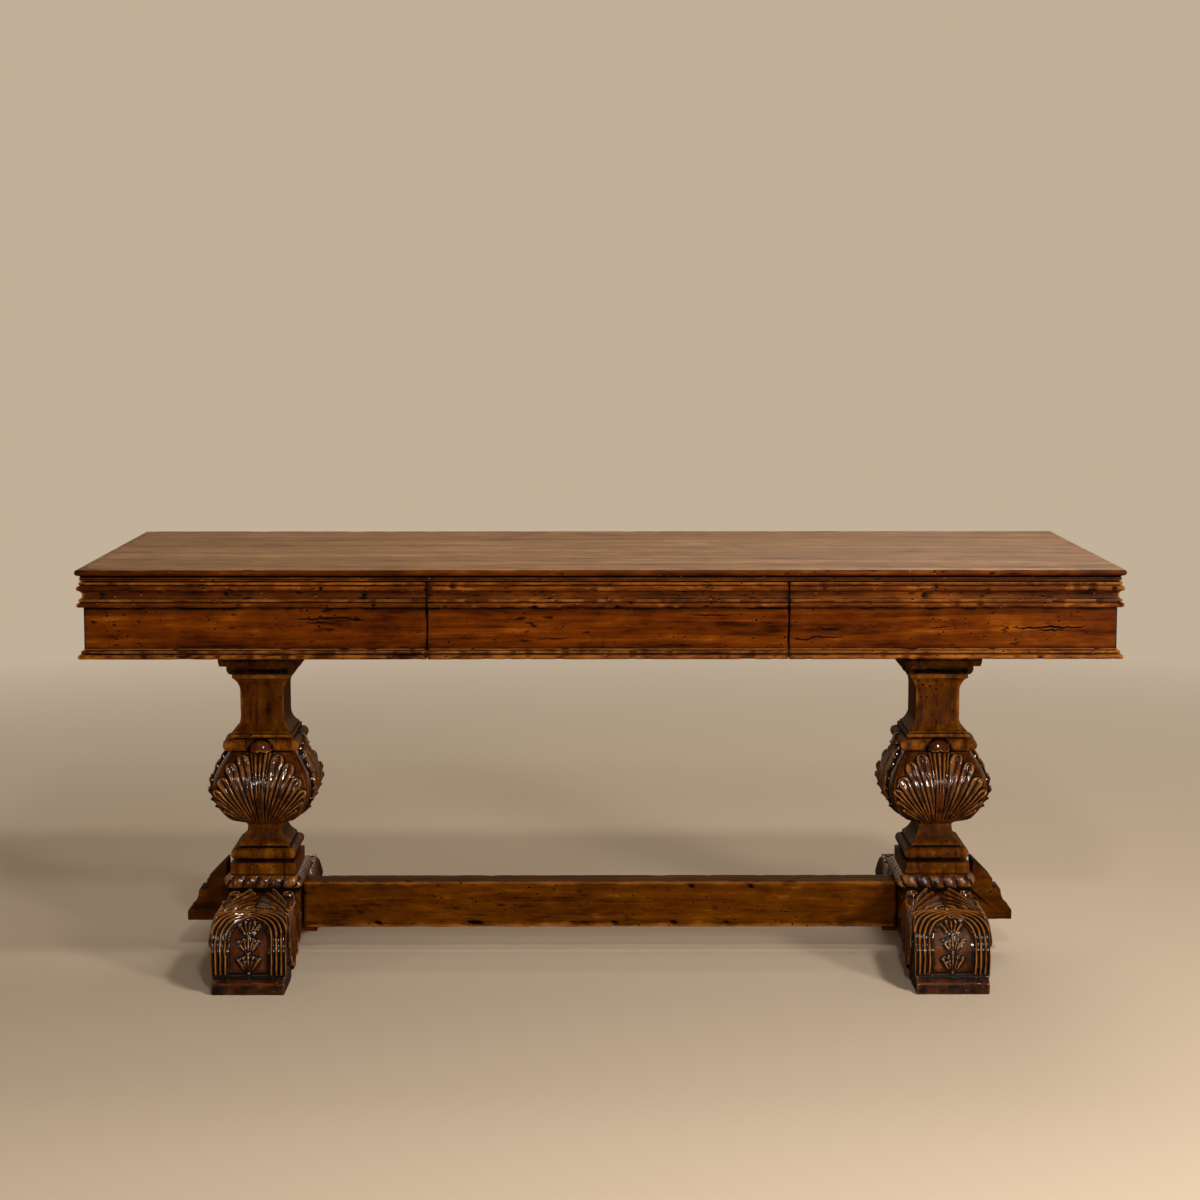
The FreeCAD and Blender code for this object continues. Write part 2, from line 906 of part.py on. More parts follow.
def make_base_stack(name, side):
    """Die and rope moulding, both pierced by the tenon of the post."""
    hole = around(tenon_half + fit)
    die_x = size.die_width / 2
    die_y = die_x + size.plan_stretch / 2
    die = box(f"die_{name}_blank", around(die_x), around(die_y), (rope_top, post_bottom))
    die_hole = box(f"die_{name}_mortise", hole, hole, (rope_top - 1, post_bottom + 1))
    finish(place(cut(f"die_{name}", die, [die_hole]), side * trestle_x))
    round_ = size.rope_height / 2
    rope = size.rope_width / 2
    levels = [
        (rope - round_, hub_top, round_),
        (rope, hub_top + round_, round_),
        (rope - round_, rope_top),
    ]
    plate = moulded_block(f"rope_{name}_blank", levels, rope + 5)
    rope_hole = box(f"rope_{name}_mortise", hole, hole, (hub_top - 1, rope_top + 1))
    finish(place(cut(f"rope_moulding_{name}", plate, [rope_hole]), side * trestle_x))


def tenon_z(grow):
    middle = hub_top - size.stretcher_margin - size.stretcher_height / 2
    return middle - size.tenon_height / 2 - grow, middle + size.tenon_height / 2 + grow


def peg_spot():
    """Distance of the peg from the trestle axis, in the middle of the stretcher tenon."""
    return hub_x - size.tenon_length / 2


def make_hub(name, side):
    """Block with mortises for the post, both feet, the bracket and the stretcher."""
    blank = box(f"hub_{name}_blank", around(hub_x), around(hub_y), (hub_bottom, hub_top))
    deep = size.tenon_length + fit
    hole = around(tenon_half + fit)
    z = tenon_z(fit)
    tools = [
        box(f"hub_{name}_post_mortise", hole, hole, (hub_top - size.post_tenon_length - fit, hub_top + 1)),
        box(f"hub_{name}_front_mortise", hole, (-hub_y - 1, -hub_y + deep), z),
        box(f"hub_{name}_rear_mortise", hole, (hub_y - deep, hub_y + 1), z),
        box(f"hub_{name}_outer_mortise", (hub_x - deep, hub_x + 1), hole, z),
        box(f"hub_{name}_inner_mortise", (-hub_x - 1, -hub_x + deep), hole, z),
    ]
    hub = cut(f"hub_{name}_mortised", blank, tools)
    peg_z = (hub_bottom - 1, tenon_z(term(0))[1])
    peg_hole = cylinder(f"hub_{name}_peg_hole", -peg_spot(), term(0), peg_z, size.peg_diameter / 2 + fit / 2)
    hub = cut(f"hub_{name}", hub, [peg_hole])
    finish(place(hub, side * trestle_x, 0, 0, 0 if side > 0 else 180))


def foot_outline():
    """Side view of a scroll foot reaching towards -Y, standing on its pad."""
    toe = -(size.foot_reach - size.foot_toe_setback)
    crest = -size.foot_crest_reach
    roll = tangent_radius(size.foot_crest_height - size.foot_toe_height, crest - toe)
    return [
        (-hub_y, hub_bottom),
        (-hub_y, size.foot_heel_height, size.foot_reach * -1.7),
        (crest, size.foot_crest_height, roll),
        (toe, size.foot_toe_height),
        (toe, size.pad_height + 18),
        (toe + 6, size.pad_height),
        (-(size.foot_reach - size.pad_length), size.pad_height),
        (-(size.foot_reach - size.pad_length - 8), hub_bottom - 4),
    ]


def make_foot(name, side, end):
    """Scroll with rounded shoulders, its pad and the tenon that enters the hub."""
    label = f"foot_{name}_{end}"
    half = size.foot_width / 2
    shoulder = size.foot_shoulder
    body = doc.addObject("PartDesign::Body", f"{label}_scroll")
    pad(body, f"{label}_side", "YZ", foot_outline(), size.foot_width)
    spring = size.foot_crest_height - shoulder / 2
    arch = [
        (-half, 0),
        (half, 0),
        (half, spring, shoulder),
        (half - shoulder, spring + shoulder),
        (-(half - shoulder), spring + shoulder, shoulder),
        (-half, spring),
    ]
    sketch = loose_sketch(f"{label}_front_view", "XZ", arch)
    shape = common(f"{label}_arched", body, extrude(f"{label}_arch", sketch, size.foot_reach, term(0)))
    foot_pad = box(
        f"{label}_pad",
        around(size.pad_width / 2),
        (-size.foot_reach, -(size.foot_reach - size.pad_length)),
        (term(0), size.pad_height + 2),
    )
    tongue = box(
        f"{label}_tenon",
        around(tenon_half),
        (-hub_y - 10, -hub_y + size.tenon_length),
        tenon_z(term(0)),
    )
    foot = fuse(label, [shape, foot_pad, tongue])
    finish(place(foot, side * trestle_x, 0, 0, 0 if end == "front" else 180))


def bracket_outline():
    """Two-step bracket against the outer face of the hub, clear of the rope moulding."""
    bottom = size.bracket_bottom
    ledge = bottom + size.bracket_ledge_height
    top = bottom + size.bracket_top_height
    clear = size.rope_width / 2 + 0.5
    hollow = tangent_radius(size.bracket_reach - size.bracket_ledge_reach, size.bracket_ledge_height)
    return [
        (hub_x, bottom),
        (size.bracket_reach, bottom),
        (size.bracket_reach, bottom + size.bracket_toe_height, -hollow),
        (size.bracket_ledge_reach, ledge),
        (size.bracket_step_reach, ledge),
        (size.bracket_step_reach, bottom + size.bracket_shoulder_height),
        (size.bracket_top_reach, top),
        (clear, top),
        (clear, hub_top - 0.5),
        (hub_x, hub_top - 0.5),
    ]


def make_bracket(name, side):
    body = doc.addObject("PartDesign::Body", f"bracket_{name}")
    pad(body, f"bracket_{name}_side", "XZ", bracket_outline(), size.bracket_thickness)
    tongue = rectangle((hub_x - size.tenon_length, hub_x + 10), tenon_z(term(0)))
    pad(body, f"bracket_{name}_tenon", "XZ", tongue, size.tenon_width)
    finish(place(body, side * trestle_x, 0, 0, 0 if side > 0 else 180))


def make_stretcher():
    """Beam with a tenon in each hub, pegged from below, and a cleat beside each hub."""
    high = hub_top - size.stretcher_margin
    low = high - size.stretcher_height
    half = size.stretcher_thickness / 2
    span = (trestle_x - hub_x) * 2
    body = doc.addObject("PartDesign::Body", "stretcher_beam")
    pad(body, "stretcher_shaft", "YZ", rectangle(around(half), (low, high)), span)
    tongue = rectangle(around(tenon_half), tenon_z(term(0)))
    pad(body, "stretcher_tenons", "YZ", tongue, span + size.tenon_length * 2)
    pegs, holes, cleats = [], [], []
    radius = size.peg_diameter / 2
    for name, side in (("left", -1), ("right", 1)):
        x = side * (trestle_x - peg_spot())
        peg_z = (hub_bottom, tenon_z(term(0))[1])
        hole_z = (low, high)
        pegs.append(cylinder(f"peg_{name}", x, term(0), peg_z, radius))
        holes.append(cylinder(f"peg_{name}_hole", x, term(0), hole_z, radius + fit / 2))
        outer = side * (trestle_x - hub_x)
        inner = side * (trestle_x - hub_x - size.cleat_length)
        ends = (outer, inner) if side < 0 else (inner, outer)
        cleats.append(box(f"cleat_{name}", ends, around(half * 0.8), (low - size.cleat_height, low)))
    finish(cut("stretcher", body, holes))
    finish(group("stretcher_pegs", pegs))
    finish(group("stretcher_cleats", cleats))


def make_trestle(name, side):
    make_capital(name, side)
    make_post(name, side)
    make_base_stack(name, side)
    make_hub(name, side)
    for end in ("front", "rear"):
        make_foot(name, side, end)
    make_bracket(name, side)


def write_parts():
    """Check every object, then write each finished piece to its own file."""
    doc.recompute()
    for item in doc.Objects:
        if "Invalid" in item.State or "Error" in item.State:
            raise RuntimeError(f"{item.Label} did not recompute: {item.State}")
    os.makedirs("parts", exist_ok=True)
    for item in finished:
        shape = item.Shape
        if shape.isNull() or not shape.isValid() or not shape.Solids:
            raise RuntimeError(f"{item.Label} has no valid solid")
        shape.exportStep(f"parts/{item.Label}.step")
        print(item.Label, len(shape.Solids), round(shape.Volume / 1000, 1))
    print(len(finished), "pieces")


make_top()
make_top_edges()
make_rails()
make_fixed_apron()
make_carcass()
make_bearers()
for drawer in DRAWERS:
    make_drawer(*drawer)
for trestle_name, trestle_side in (("left", -1), ("right", 1)):
    make_trestle(trestle_name, trestle_side)
make_stretcher()
write_parts()
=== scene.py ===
# %% [markdown]
# # An old trestle table
# The table stands on two carved legs joined by a low beam, and has three drawers behind its front. The
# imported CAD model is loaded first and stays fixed. Every piece that shows is fitted to it, so the whole
# lesson works in the table's own frame: metres, the front towards -Y, the floor at Z = 0.

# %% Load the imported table
import itertools
import math

import bpy
import numpy as np
from mathutils import Matrix, Vector


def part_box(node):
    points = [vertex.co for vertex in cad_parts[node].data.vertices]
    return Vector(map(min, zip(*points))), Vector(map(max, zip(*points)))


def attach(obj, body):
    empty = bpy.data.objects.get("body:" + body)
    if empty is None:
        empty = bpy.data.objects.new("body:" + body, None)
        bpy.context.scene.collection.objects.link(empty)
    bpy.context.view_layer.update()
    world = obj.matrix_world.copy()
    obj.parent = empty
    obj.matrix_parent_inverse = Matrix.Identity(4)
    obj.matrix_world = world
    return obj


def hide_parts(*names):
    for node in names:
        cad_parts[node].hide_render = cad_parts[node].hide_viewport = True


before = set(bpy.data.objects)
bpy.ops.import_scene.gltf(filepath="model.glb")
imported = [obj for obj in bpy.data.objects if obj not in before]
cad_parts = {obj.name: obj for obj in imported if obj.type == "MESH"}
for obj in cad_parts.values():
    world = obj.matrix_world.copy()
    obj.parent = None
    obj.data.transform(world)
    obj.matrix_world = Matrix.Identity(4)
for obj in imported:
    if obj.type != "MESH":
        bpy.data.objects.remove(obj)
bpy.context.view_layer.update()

MM = 0.001

# %% [markdown]
# ## Camera
# The table is seen from the front, a little above its top, through a long lens; a short lens close by
# would spread the legs apart. The lines of the top and of the feet in the photograph give the height and
# the tilt, so the camera is set by numbers and not by eye.

# %% Camera
CAMERA_SPOT = (-0.0249, -4.9918, 1.2471)
TILT_DOWN, TURN_RIGHT = 6.556, 0.288
bpy.ops.object.camera_add(
    location=CAMERA_SPOT,
    rotation=(math.radians(90 - TILT_DOWN), 0, math.radians(-TURN_RIGHT)),
)
camera = bpy.context.object
camera.data.sensor_width = 36
camera.data.lens = 80.06
bpy.context.scene.camera = camera
print("camera at", [round(part, 3) for part in camera.location])

# %% [markdown]
# ## Trees of nodes
# Floor, room and woods are all painted by trees of shader nodes. By hand they are drawn in the shader
# editor. Here four short helpers add a node with its settings, add up weighted values, stretch a value
# between two limits and blend two colours, so that each finish below reads as a recipe.


# %% Node helpers
def add_node(tree, kind, inputs=None, **settings):
    node = tree.nodes.new("ShaderNode" + kind)
    for key, value in settings.items():
        setattr(node, key, value)
    for key, value in (inputs or {}).items():
        if isinstance(value, bpy.types.NodeSocket):
            tree.links.new(value, node.inputs[key])
        else:
            node.inputs[key].default_value = value
    return node


def sum_of(tree, *terms):
    """Adds weighted sockets: each term is (socket, weight)."""
    total = None
    for socket, weight in terms:
        scaled = add_node(tree, "Math", {0: socket, 1: weight}, operation="MULTIPLY").outputs[0]
        if total is None:
            total = scaled
        else:
            total = add_node(tree, "Math", {0: total, 1: scaled}, operation="ADD").outputs[0]
    return total


def stretch(tree, socket, low, high, to_low=0.0, to_high=1.0):
    limits = {"From Min": low, "From Max": high, "To Min": to_low, "To Max": to_high}
    return add_node(tree, "MapRange", {"Value": socket, **limits}, clamp=True).outputs["Result"]


def blend_colour(tree, amount, first, second):
    mix = add_node(tree, "Mix", {"Factor": amount}, data_type="RGBA")
    for index, value in ((6, first), (7, second)):
        if isinstance(value, bpy.types.NodeSocket):
            tree.links.new(value, mix.inputs[index])
        else:
            mix.inputs[index].default_value = value
    return mix.outputs[2]


print("node helpers ready")

# %% [markdown]
# ## Floor and light
# The studio is plain: a pale floor carries the shadow and, for the camera alone, fades into an even
# backdrop far from the table. A bent backdrop sheet would do as well, but it catches lamps and shadows
# of its own. Reflections see the floor dim, so the polished apron stays deep.

# %% Floor
PALE = (0.63, 0.515, 0.39, 1)
BACKDROP = (0.54, 0.435, 0.32, 1)
DIM = (0.05, 0.04, 0.03, 1)
FLOOR_RADIUS, FADE = 60, (1.6, 4.5)
bpy.ops.object.select_all(action="DESELECT")
bpy.ops.mesh.primitive_circle_add(vertices=96, radius=FLOOR_RADIUS, fill_type="NGON")
floor = bpy.context.object
floor.name = "floor"
floor_paint = bpy.data.materials.new("pale_floor")
floor_paint.use_nodes = True
tree = floor_paint.node_tree
matt = tree.nodes["Principled BSDF"]
matt.inputs["Roughness"].default_value = 0.85
matt.inputs["Specular IOR Level"].default_value = 0.2
spot = add_node(tree, "TexCoord").outputs["Object"]
away = add_node(tree, "VectorMath", {0: spot}, operation="LENGTH").outputs["Value"]
path = add_node(tree, "LightPath").outputs
tree.links.new(blend_colour(tree, path["Is Glossy Ray"], PALE, DIM), matt.inputs["Base Color"])
far = stretch(tree, away, *FADE)
far = add_node(tree, "Math", {0: far, 1: path["Is Camera Ray"]}, operation="MULTIPLY").outputs[0]
even = add_node(tree, "Emission", {"Color": BACKDROP, "Strength": 1.0}).outputs[0]
surface = add_node(tree, "MixShader", {0: far, 1: matt.outputs[0], 2: even}).outputs[0]
tree.links.new(surface, tree.nodes["Material Output"].inputs["Surface"])
floor.data.materials.append(floor_paint)
print("floor fades between", FADE, "m from the table")

# %% [markdown]
# Five soft lamps stand round the table: a key lamp at the upper right, a brow lamp high in front, a low
# front lamp at the right for the sheen on the carving, a weak fill at the left and a wide rear lamp over
# the top. One lamp would be simpler, but it leaves half of each carved hollow without form. The room is
# brighter behind the table than in front of it, so the polish of the top shows the backdrop.

# %% Lamps
# Place, aim, breadth in metres and power in watts
LAMPS = {
    "key_lamp": ((1.7, -1.9, 3.1), (0.1, 0, 0.4), 0.4, 50),
    "brow_lamp": ((0.3, -3.6, 2.6), (0, 0, 0.4), 0.3, 38),
    "front_lamp": ((2.3, -3.3, 1.15), (0.3, 0, 0.45), 0.5, 76),
    "fill_lamp": ((-3.0, -3.3, 1.2), (0, 0, 0.45), 0.9, 19),
    "rear_lamp": ((1.2, 2.4, 3.4), (0.2, 0, 0.5), 1.6, 45),
}
LAMP_TINT = (1.0, 0.94, 0.86)
for lamp_name, (spot, aim, breadth, power) in LAMPS.items():
    bpy.ops.object.light_add(type="AREA", location=spot)
    lamp = bpy.context.object
    lamp.name = lamp_name
    lamp.data.size = breadth
    lamp.data.energy = power
    lamp.data.color = LAMP_TINT
    towards = Vector(aim) - lamp.location
    lamp.rotation_euler = towards.to_track_quat("-Z", "Y").to_euler()
print(len(LAMPS), "lamps over a pale floor")

# %% Room
FRONT_LEVEL, BACK_LEVEL, GLOSSY_LOSS = 0.14, 0.7, 0.12
world = bpy.context.scene.world or bpy.data.worlds.new("room")
bpy.context.scene.world = world
world.use_nodes = True
tree = world.node_tree
room = tree.nodes["Background"]
room.inputs["Color"].default_value = BACKDROP
way = add_node(tree, "SeparateXYZ", {0: add_node(tree, "TexCoord").outputs["Generated"]}).outputs
behind = stretch(tree, way["Y"], 0.0, 0.7, FRONT_LEVEL, BACK_LEVEL)
path = add_node(tree, "LightPath").outputs
behind = sum_of(tree, (behind, 1.0), (path["Is Glossy Ray"], -GLOSSY_LOSS))
level = add_node(tree, "Math", {0: behind, 1: path["Is Camera Ray"]}, operation="MAXIMUM").outputs[0]
tree.links.new(level, room.inputs["Strength"])
bpy.context.scene.view_settings.view_transform = "Standard"
print("room lit from", FRONT_LEVEL, "in front to", BACK_LEVEL, "behind")

# %% [markdown]
# ## The finish
# The wood is stained walnut. A near-black glaze was rubbed into it and wiped off again, so it stays in
# the hollows, and the raised edges are worn back to a pale orange. A picture of wood could be laid on
# instead, but it would not know where the hollows are. So each carved piece carries an attribute, named
# after its hollows: how many millimetres a point lies below (or, if negative, above) the surface around
# it. Some pieces add painted shade to it where they stand under or between others. One function makes
# every wood from it: long noise for the figure, fine noise for the fibre, small round cells for worm
# holes with a painted glint under each, then glaze, painted shade and wear by the attribute.


# %% Stain and worm holes
def stain(tree, tone, tones):
    """Colour of the bare wood: its tones, from dark to light, spread over a noise."""
    ramp = add_node(tree, "ValToRGB", {"Fac": stretch(tree, tone, 0.40, 0.61)})
    stops = ramp.color_ramp.elements
    while len(stops) < len(tones):
        stops.new(0.5)
    for index, tint in enumerate(tones):
        stops[index].position = index / (len(tones) - 1)
        stops[index].color = (*tint, 1)
    return ramp.outputs["Color"]


WORM_CELLS = 66


def worm_spots(tree, place, cloud, crowd, size, strength):
    """Small round spots in random cells, larger where the cloudy noise is high."""
    cells = add_node(tree, "TexVoronoi", {"Vector": place, "Scale": WORM_CELLS})
    spots = sum_of(tree, (cells.outputs["Distance"], 1.0), (cloud, -crowd))
    return stretch(tree, spots, size, 0.0, 0, strength)


print("worm holes about", round(1000 / WORM_CELLS), "mm apart")

# %% Wood finish
GRAIN = {"x": (0.05, 1, 1), "y": (1, 0.05, 1), "z": (1, 1, 0.05)}
STREAK = {"x": (0.3, 1, 1), "y": (1, 0.3, 1), "z": (1, 1, 0.5)}
# Near-black glaze; the same tint paints the shade that some pieces add to their hollows
GLAZE_AND_SHADE_TINT = (0.0030, 0.0010, 0.0002, 1)
# Pale tint of the painted glint under each worm hole, and how far below the hole it lies
GLINT_TINT = (0.50, 0.25, 0.09, 1)
GLINT_SHIFT = (-0.0006, 0, 0.0018)


def make_wood(
    name, along, tones, worn,
    wear=0.7, polish=0.42, gleam=0.05, shine=0.0, holes=1.0, figure_size=26, painted_glints=0.12,
):
    """Stained and glazed wood with its grain along one axis; tones run from dark to light."""
    wood = bpy.data.materials.new(name)
    wood.use_nodes = True
    tree = wood.node_tree
    shader = tree.nodes["Principled BSDF"]
    place = add_node(tree, "TexCoord").outputs["Object"]
    grain = add_node(tree, "Mapping", {"Vector": place, "Scale": GRAIN[along]}).outputs[0]
    streak = add_node(tree, "Mapping", {"Vector": place, "Scale": STREAK[along]}).outputs[0]
    below = add_node(tree, "Mapping", {"Vector": place, "Location": GLINT_SHIFT}).outputs[0]

    def noise(vector, scale, detail, **more):
        inputs = {"Vector": vector, "Scale": scale, "Detail": detail, **more}
        return add_node(tree, "TexNoise", inputs).outputs["Fac"]

    figure = noise(grain, figure_size, 7, Roughness=0.64, Distortion=1.4)
    fibre = noise(grain, 260, 4, Roughness=0.6)
    dashes = noise(streak, 130, 3)
    cloud = noise(place, 9, 4)
    patch = noise(streak, 60, 7, Roughness=0.62)
    hollow = add_node(tree, "Attribute", attribute_name="hollow").outputs["Fac"]
    # Glaze in the hollows, and painted shade where a piece has added it to the attribute
    glaze_and_shade = stretch(tree, sum_of(tree, (hollow, 1.0), (patch, 0.5)), 0.36, 0.80)
    rubbed = stretch(tree, sum_of(tree, (hollow, -1.0), (patch, 1.6)), 1.0, 1.6, 0, wear)
    pores = stretch(tree, sum_of(tree, (fibre, 0.6), (patch, 0.5)), 0.44, 0.37, 0, 0.8)
    scars = stretch(tree, sum_of(tree, (dashes, 0.7), (cloud, 0.3)), 0.625, 0.65, 0, 0.85 * holes)
    worm = worm_spots(tree, place, cloud, 0.2, 0.025, holes)
    # Painted glint: a pale spot just under each worm hole, where its rim would catch the light
    lip = worm_spots(tree, below, cloud, 0.15, 0.02, painted_glints)

    colour = stain(tree, sum_of(tree, (figure, 0.42), (fibre, 0.14), (cloud, 0.16), (patch, 0.28)), tones)
    colour = blend_colour(tree, pores, colour, (*tones[0], 1))
    for amount, tint in ((scars, GLAZE_AND_SHADE_TINT), (rubbed, (*worn, 1)), (glaze_and_shade, GLAZE_AND_SHADE_TINT), (lip, GLINT_TINT), (worm, GLAZE_AND_SHADE_TINT)):
        colour = blend_colour(tree, amount, colour, tint)
    tree.links.new(colour, shader.inputs["Base Color"])
    gloss = sum_of(tree, (patch, 0.20), (glaze_and_shade, 0.15), (fibre, 0.08), (worm, 0.3))
    gloss = add_node(tree, "Math", {0: gloss, 1: polish - 0.14}, operation="ADD").outputs[0]
    tree.links.new(gloss, shader.inputs["Roughness"])
    relief = sum_of(tree, (fibre, 0.25), (patch, 0.5), (worm, -1.2), (scars, -0.7))
    bump = add_node(tree, "Bump", {"Height": relief, "Strength": 0.6, "Distance": 0.0008})
    tree.links.new(bump.outputs["Normal"], shader.inputs["Normal"])
    shader.inputs["Specular IOR Level"].default_value = gleam
    shader.inputs["Coat Weight"].default_value = shine
    shader.inputs["Coat Roughness"].default_value = 0.08
    shader.inputs["Coat IOR"].default_value = 1.6
    return wood


print("grain can run along", ", ".join(GRAIN))

# %% [markdown]
# The table needs several woods of one family. The mouldings and the apron are redder, the legs and the
# beam browner, the top is paler with a painted sheen, and the insides of the drawers were never
# stained.

# %% Woods of the table
WALNUT = ((0.020, 0.0036, 0.0002), (0.080, 0.0145, 0.0003), (0.130, 0.0272, 0.0006), (0.23, 0.061, 0.003))
WORN = (0.36, 0.128, 0.016)
CARVED = ((0.012, 0.0026, 0.0002), (0.052, 0.0110, 0.0004), (0.095, 0.0215, 0.0009), (0.18, 0.050, 0.003))
GOLDEN = (0.44, 0.175, 0.028)
DEEP = ((0.016, 0.0032, 0.0002), (0.064, 0.0130, 0.0003), (0.112, 0.0250, 0.0006), (0.22, 0.060, 0.003))
UMBER = ((0.018, 0.0042, 0.0002), (0.072, 0.0180, 0.0003), (0.122, 0.0335, 0.0006), (0.22, 0.075, 0.003))
# Paler tones for the top: a painted sheen
TOP_TONES_AND_SHEEN = ((0.125, 0.056, 0.019), (0.268, 0.131, 0.052), (0.364, 0.184, 0.080), (0.51, 0.280, 0.133))
INNER_TONES = ((0.13, 0.072, 0.034), (0.19, 0.108, 0.052), (0.24, 0.140, 0.070), (0.30, 0.180, 0.094))
INNER_WORN = (0.34, 0.22, 0.12)
finishes = {
    "top": make_wood("polished_walnut_top", "x", TOP_TONES_AND_SHEEN, WORN, 0.2, 0.46, 0.14, 0.0, 0.25, 20),
    "long": make_wood("glazed_walnut_long", "x", WALNUT, WORN, gleam=0.03),
    "cross": make_wood("glazed_walnut_cross", "y", WALNUT, WORN, gleam=0.03),
    "planed": make_wood("planed_walnut_long", "x", DEEP, WORN, 0.65, 0.42, 0.07, painted_glints=0.6),
    "planed_cross": make_wood("planed_walnut_cross", "y", DEEP, WORN, 0.65, 0.42, 0.07, painted_glints=0.6),
    "beam": make_wood("glazed_walnut_beam", "x", UMBER, WORN, gleam=0.02),
    "upright": make_wood("glazed_walnut_upright", "z", UMBER, WORN, figure_size=34),
    "carved": make_wood("glazed_walnut_carved", "z", CARVED, GOLDEN, 0.6, 0.36, 0.12, 0.9, 0.4, painted_glints=0.3),
    "inner": make_wood("plain_inner_wood", "x", INNER_TONES, INNER_WORN, 0.3, 0.6, 0.2, 0.0, 0.0),
}
print("finishes:", ", ".join(finishes))

# %% [markdown]
# ## Tools of the bench
# Every piece starts as a primitive and is shaped in edit mode. An operator acts on all that is selected,
# so the first helpers clear the selection and take up one piece. Points are read and set as whole
# arrays, because the carving moves many thousands of them at once.


# %% Bench helpers
def clear_selection():
    if bpy.context.object and bpy.context.object.mode != "OBJECT":
        bpy.ops.object.mode_set(mode="OBJECT")
    bpy.ops.object.select_all(action="DESELECT")


def take_up(piece):
    clear_selection()
    piece.select_set(True)
    bpy.context.view_layer.objects.active = piece


def points_of(piece):
    flat = np.empty(len(piece.data.vertices) * 3)
    piece.data.vertices.foreach_get("co", flat)
    return flat.reshape(-1, 3)


def set_points(piece, points):
    piece.data.vertices.foreach_set("co", np.ascontiguousarray(points).ravel())
    piece.data.update()


def normals_of(piece):
    flat = np.empty(len(piece.data.vertices) * 3)
    piece.data.vertex_normals.foreach_get("vector", flat)
    return flat.reshape(-1, 3)


def edges_of(piece):
    flat = np.empty(len(piece.data.edges) * 2, int)
    piece.data.edges.foreach_get("vertices", flat)
    return flat.reshape(-1, 2)


# %% Shell helpers
def cut_edges(piece, chosen, cuts):
    """Cuts the edges that a mask names into short lengths."""
    piece.data.polygons.foreach_set("select", np.zeros(len(piece.data.polygons), bool))
    piece.data.vertices.foreach_set("select", np.zeros(len(piece.data.vertices), bool))
    piece.data.edges.foreach_set("select", chosen)
    bpy.context.tool_settings.mesh_select_mode = (False, True, False)
    bpy.ops.object.mode_set(mode="EDIT")
    bpy.ops.mesh.subdivide(number_cuts=cuts)
    bpy.ops.object.mode_set(mode="OBJECT")


def close_shell(piece, fill=True):
    """Merges doubled points, fills open ends and turns the faces outwards."""
    take_up(piece)
    bpy.ops.object.mode_set(mode="EDIT")
    bpy.ops.mesh.select_all(action="SELECT")
    bpy.ops.mesh.remove_doubles(threshold=2e-5)
    if fill:
        bpy.ops.mesh.fill_holes(sides=0)
    bpy.ops.mesh.select_all(action="SELECT")
    bpy.ops.mesh.normals_make_consistent(inside=False)
    bpy.ops.object.mode_set(mode="OBJECT")


def smooth_shade(piece, angle=38):
    take_up(piece)
    bpy.ops.object.shade_smooth_by_angle(angle=math.radians(angle))


print("bench ready")

# %% [markdown]
# The glaze has to know the hollows. They could be baked into a picture, but an attribute on the points
# needs none. A copy of the points is smoothed; where the smoothed point lies outside, the surface is
# hollow there.

# %% Hollows
LONG_EDGE, ALONE = 0.012, 0.01


def smoothed(points, edges, rounds):
    count = len(points)
    ends = np.concatenate([edges[:, 0], edges[:, 1]])
    others = np.concatenate([edges[:, 1], edges[:, 0]])
    share = (np.bincount(ends, minlength=count) + ALONE)[:, None]
    for _ in range(rounds):
        total = np.stack([np.bincount(ends, points[others, axis], count) for axis in range(3)], 1)
        points = 0.4 * points + 0.6 * (total + ALONE * points) / share
    return points


def hollows_of(piece, rounds):
    """Depth of each point below the surface around it, in millimetres; long edges are left out."""
    points, edges = points_of(piece), edges_of(piece)
    length = np.linalg.norm(points[edges[:, 0]] - points[edges[:, 1]], axis=1)
    drift = smoothed(points, edges[length < LONG_EDGE], rounds) - points
    return np.einsum("ij,ij->i", drift, normals_of(piece)) / MM


def write_hollows(piece, extra, rounds, deep, proud, start=0.0):
    """Stores the hollows, with the dips over a start depth and the crests weighted apart, plus the extra
    darkening: glaze, and on some pieces painted shade.
    """
    values = hollows_of(piece, rounds)
    values = deep * np.clip(values - start, 0, None) - proud * np.clip(-values, 0, 1.2) + extra
    layer = piece.data.attributes.new("hollow", "FLOAT", "POINT")
    layer.data.foreach_set("value", np.ascontiguousarray(values, dtype=np.float32))


def add_glaze_and_shade(piece, extra):
    """Adds darkening to hollows that are already stored: dark knocks on the mouldings, and painted shade on
    the top's edge.
    """
    layer = piece.data.attributes["hollow"]
    values = np.empty(len(layer.data), np.float32)
    layer.data.foreach_get("value", values)
    layer.data.foreach_set("value", values + extra.astype(np.float32))


# %% [markdown]
# Hand planes leave a surface a little wavy, and long use chips the edges that stand out. A Displace
# modifier can make waves, but not chips on the edges alone. So a smooth random field is worked out from
# the place of each point, and moves it along its normal.


# %% Wear
def ease(low, high, values):
    share = np.clip((values - low) / (high - low), 0, 1)
    return share * share * (3 - 2 * share)


def rough(points, size, seed):
    """Smooth random field between -1 and 1, with bumps of about the given size in metres."""
    cell = points / size + seed * 7.31
    corner = np.floor(cell)
    part = cell - corner
    part = part * part * (3 - 2 * part)
    total = 0
    for step in itertools.product((0, 1), repeat=3):
        key = np.sin((corner + step) @ (12.9898, 78.233, 37.719) + seed) * 43758.5453
        weight = np.prod(np.where(step, part, 1 - part), axis=1)
        total = total + weight * (key - np.floor(key))
    return total * 2 - 1


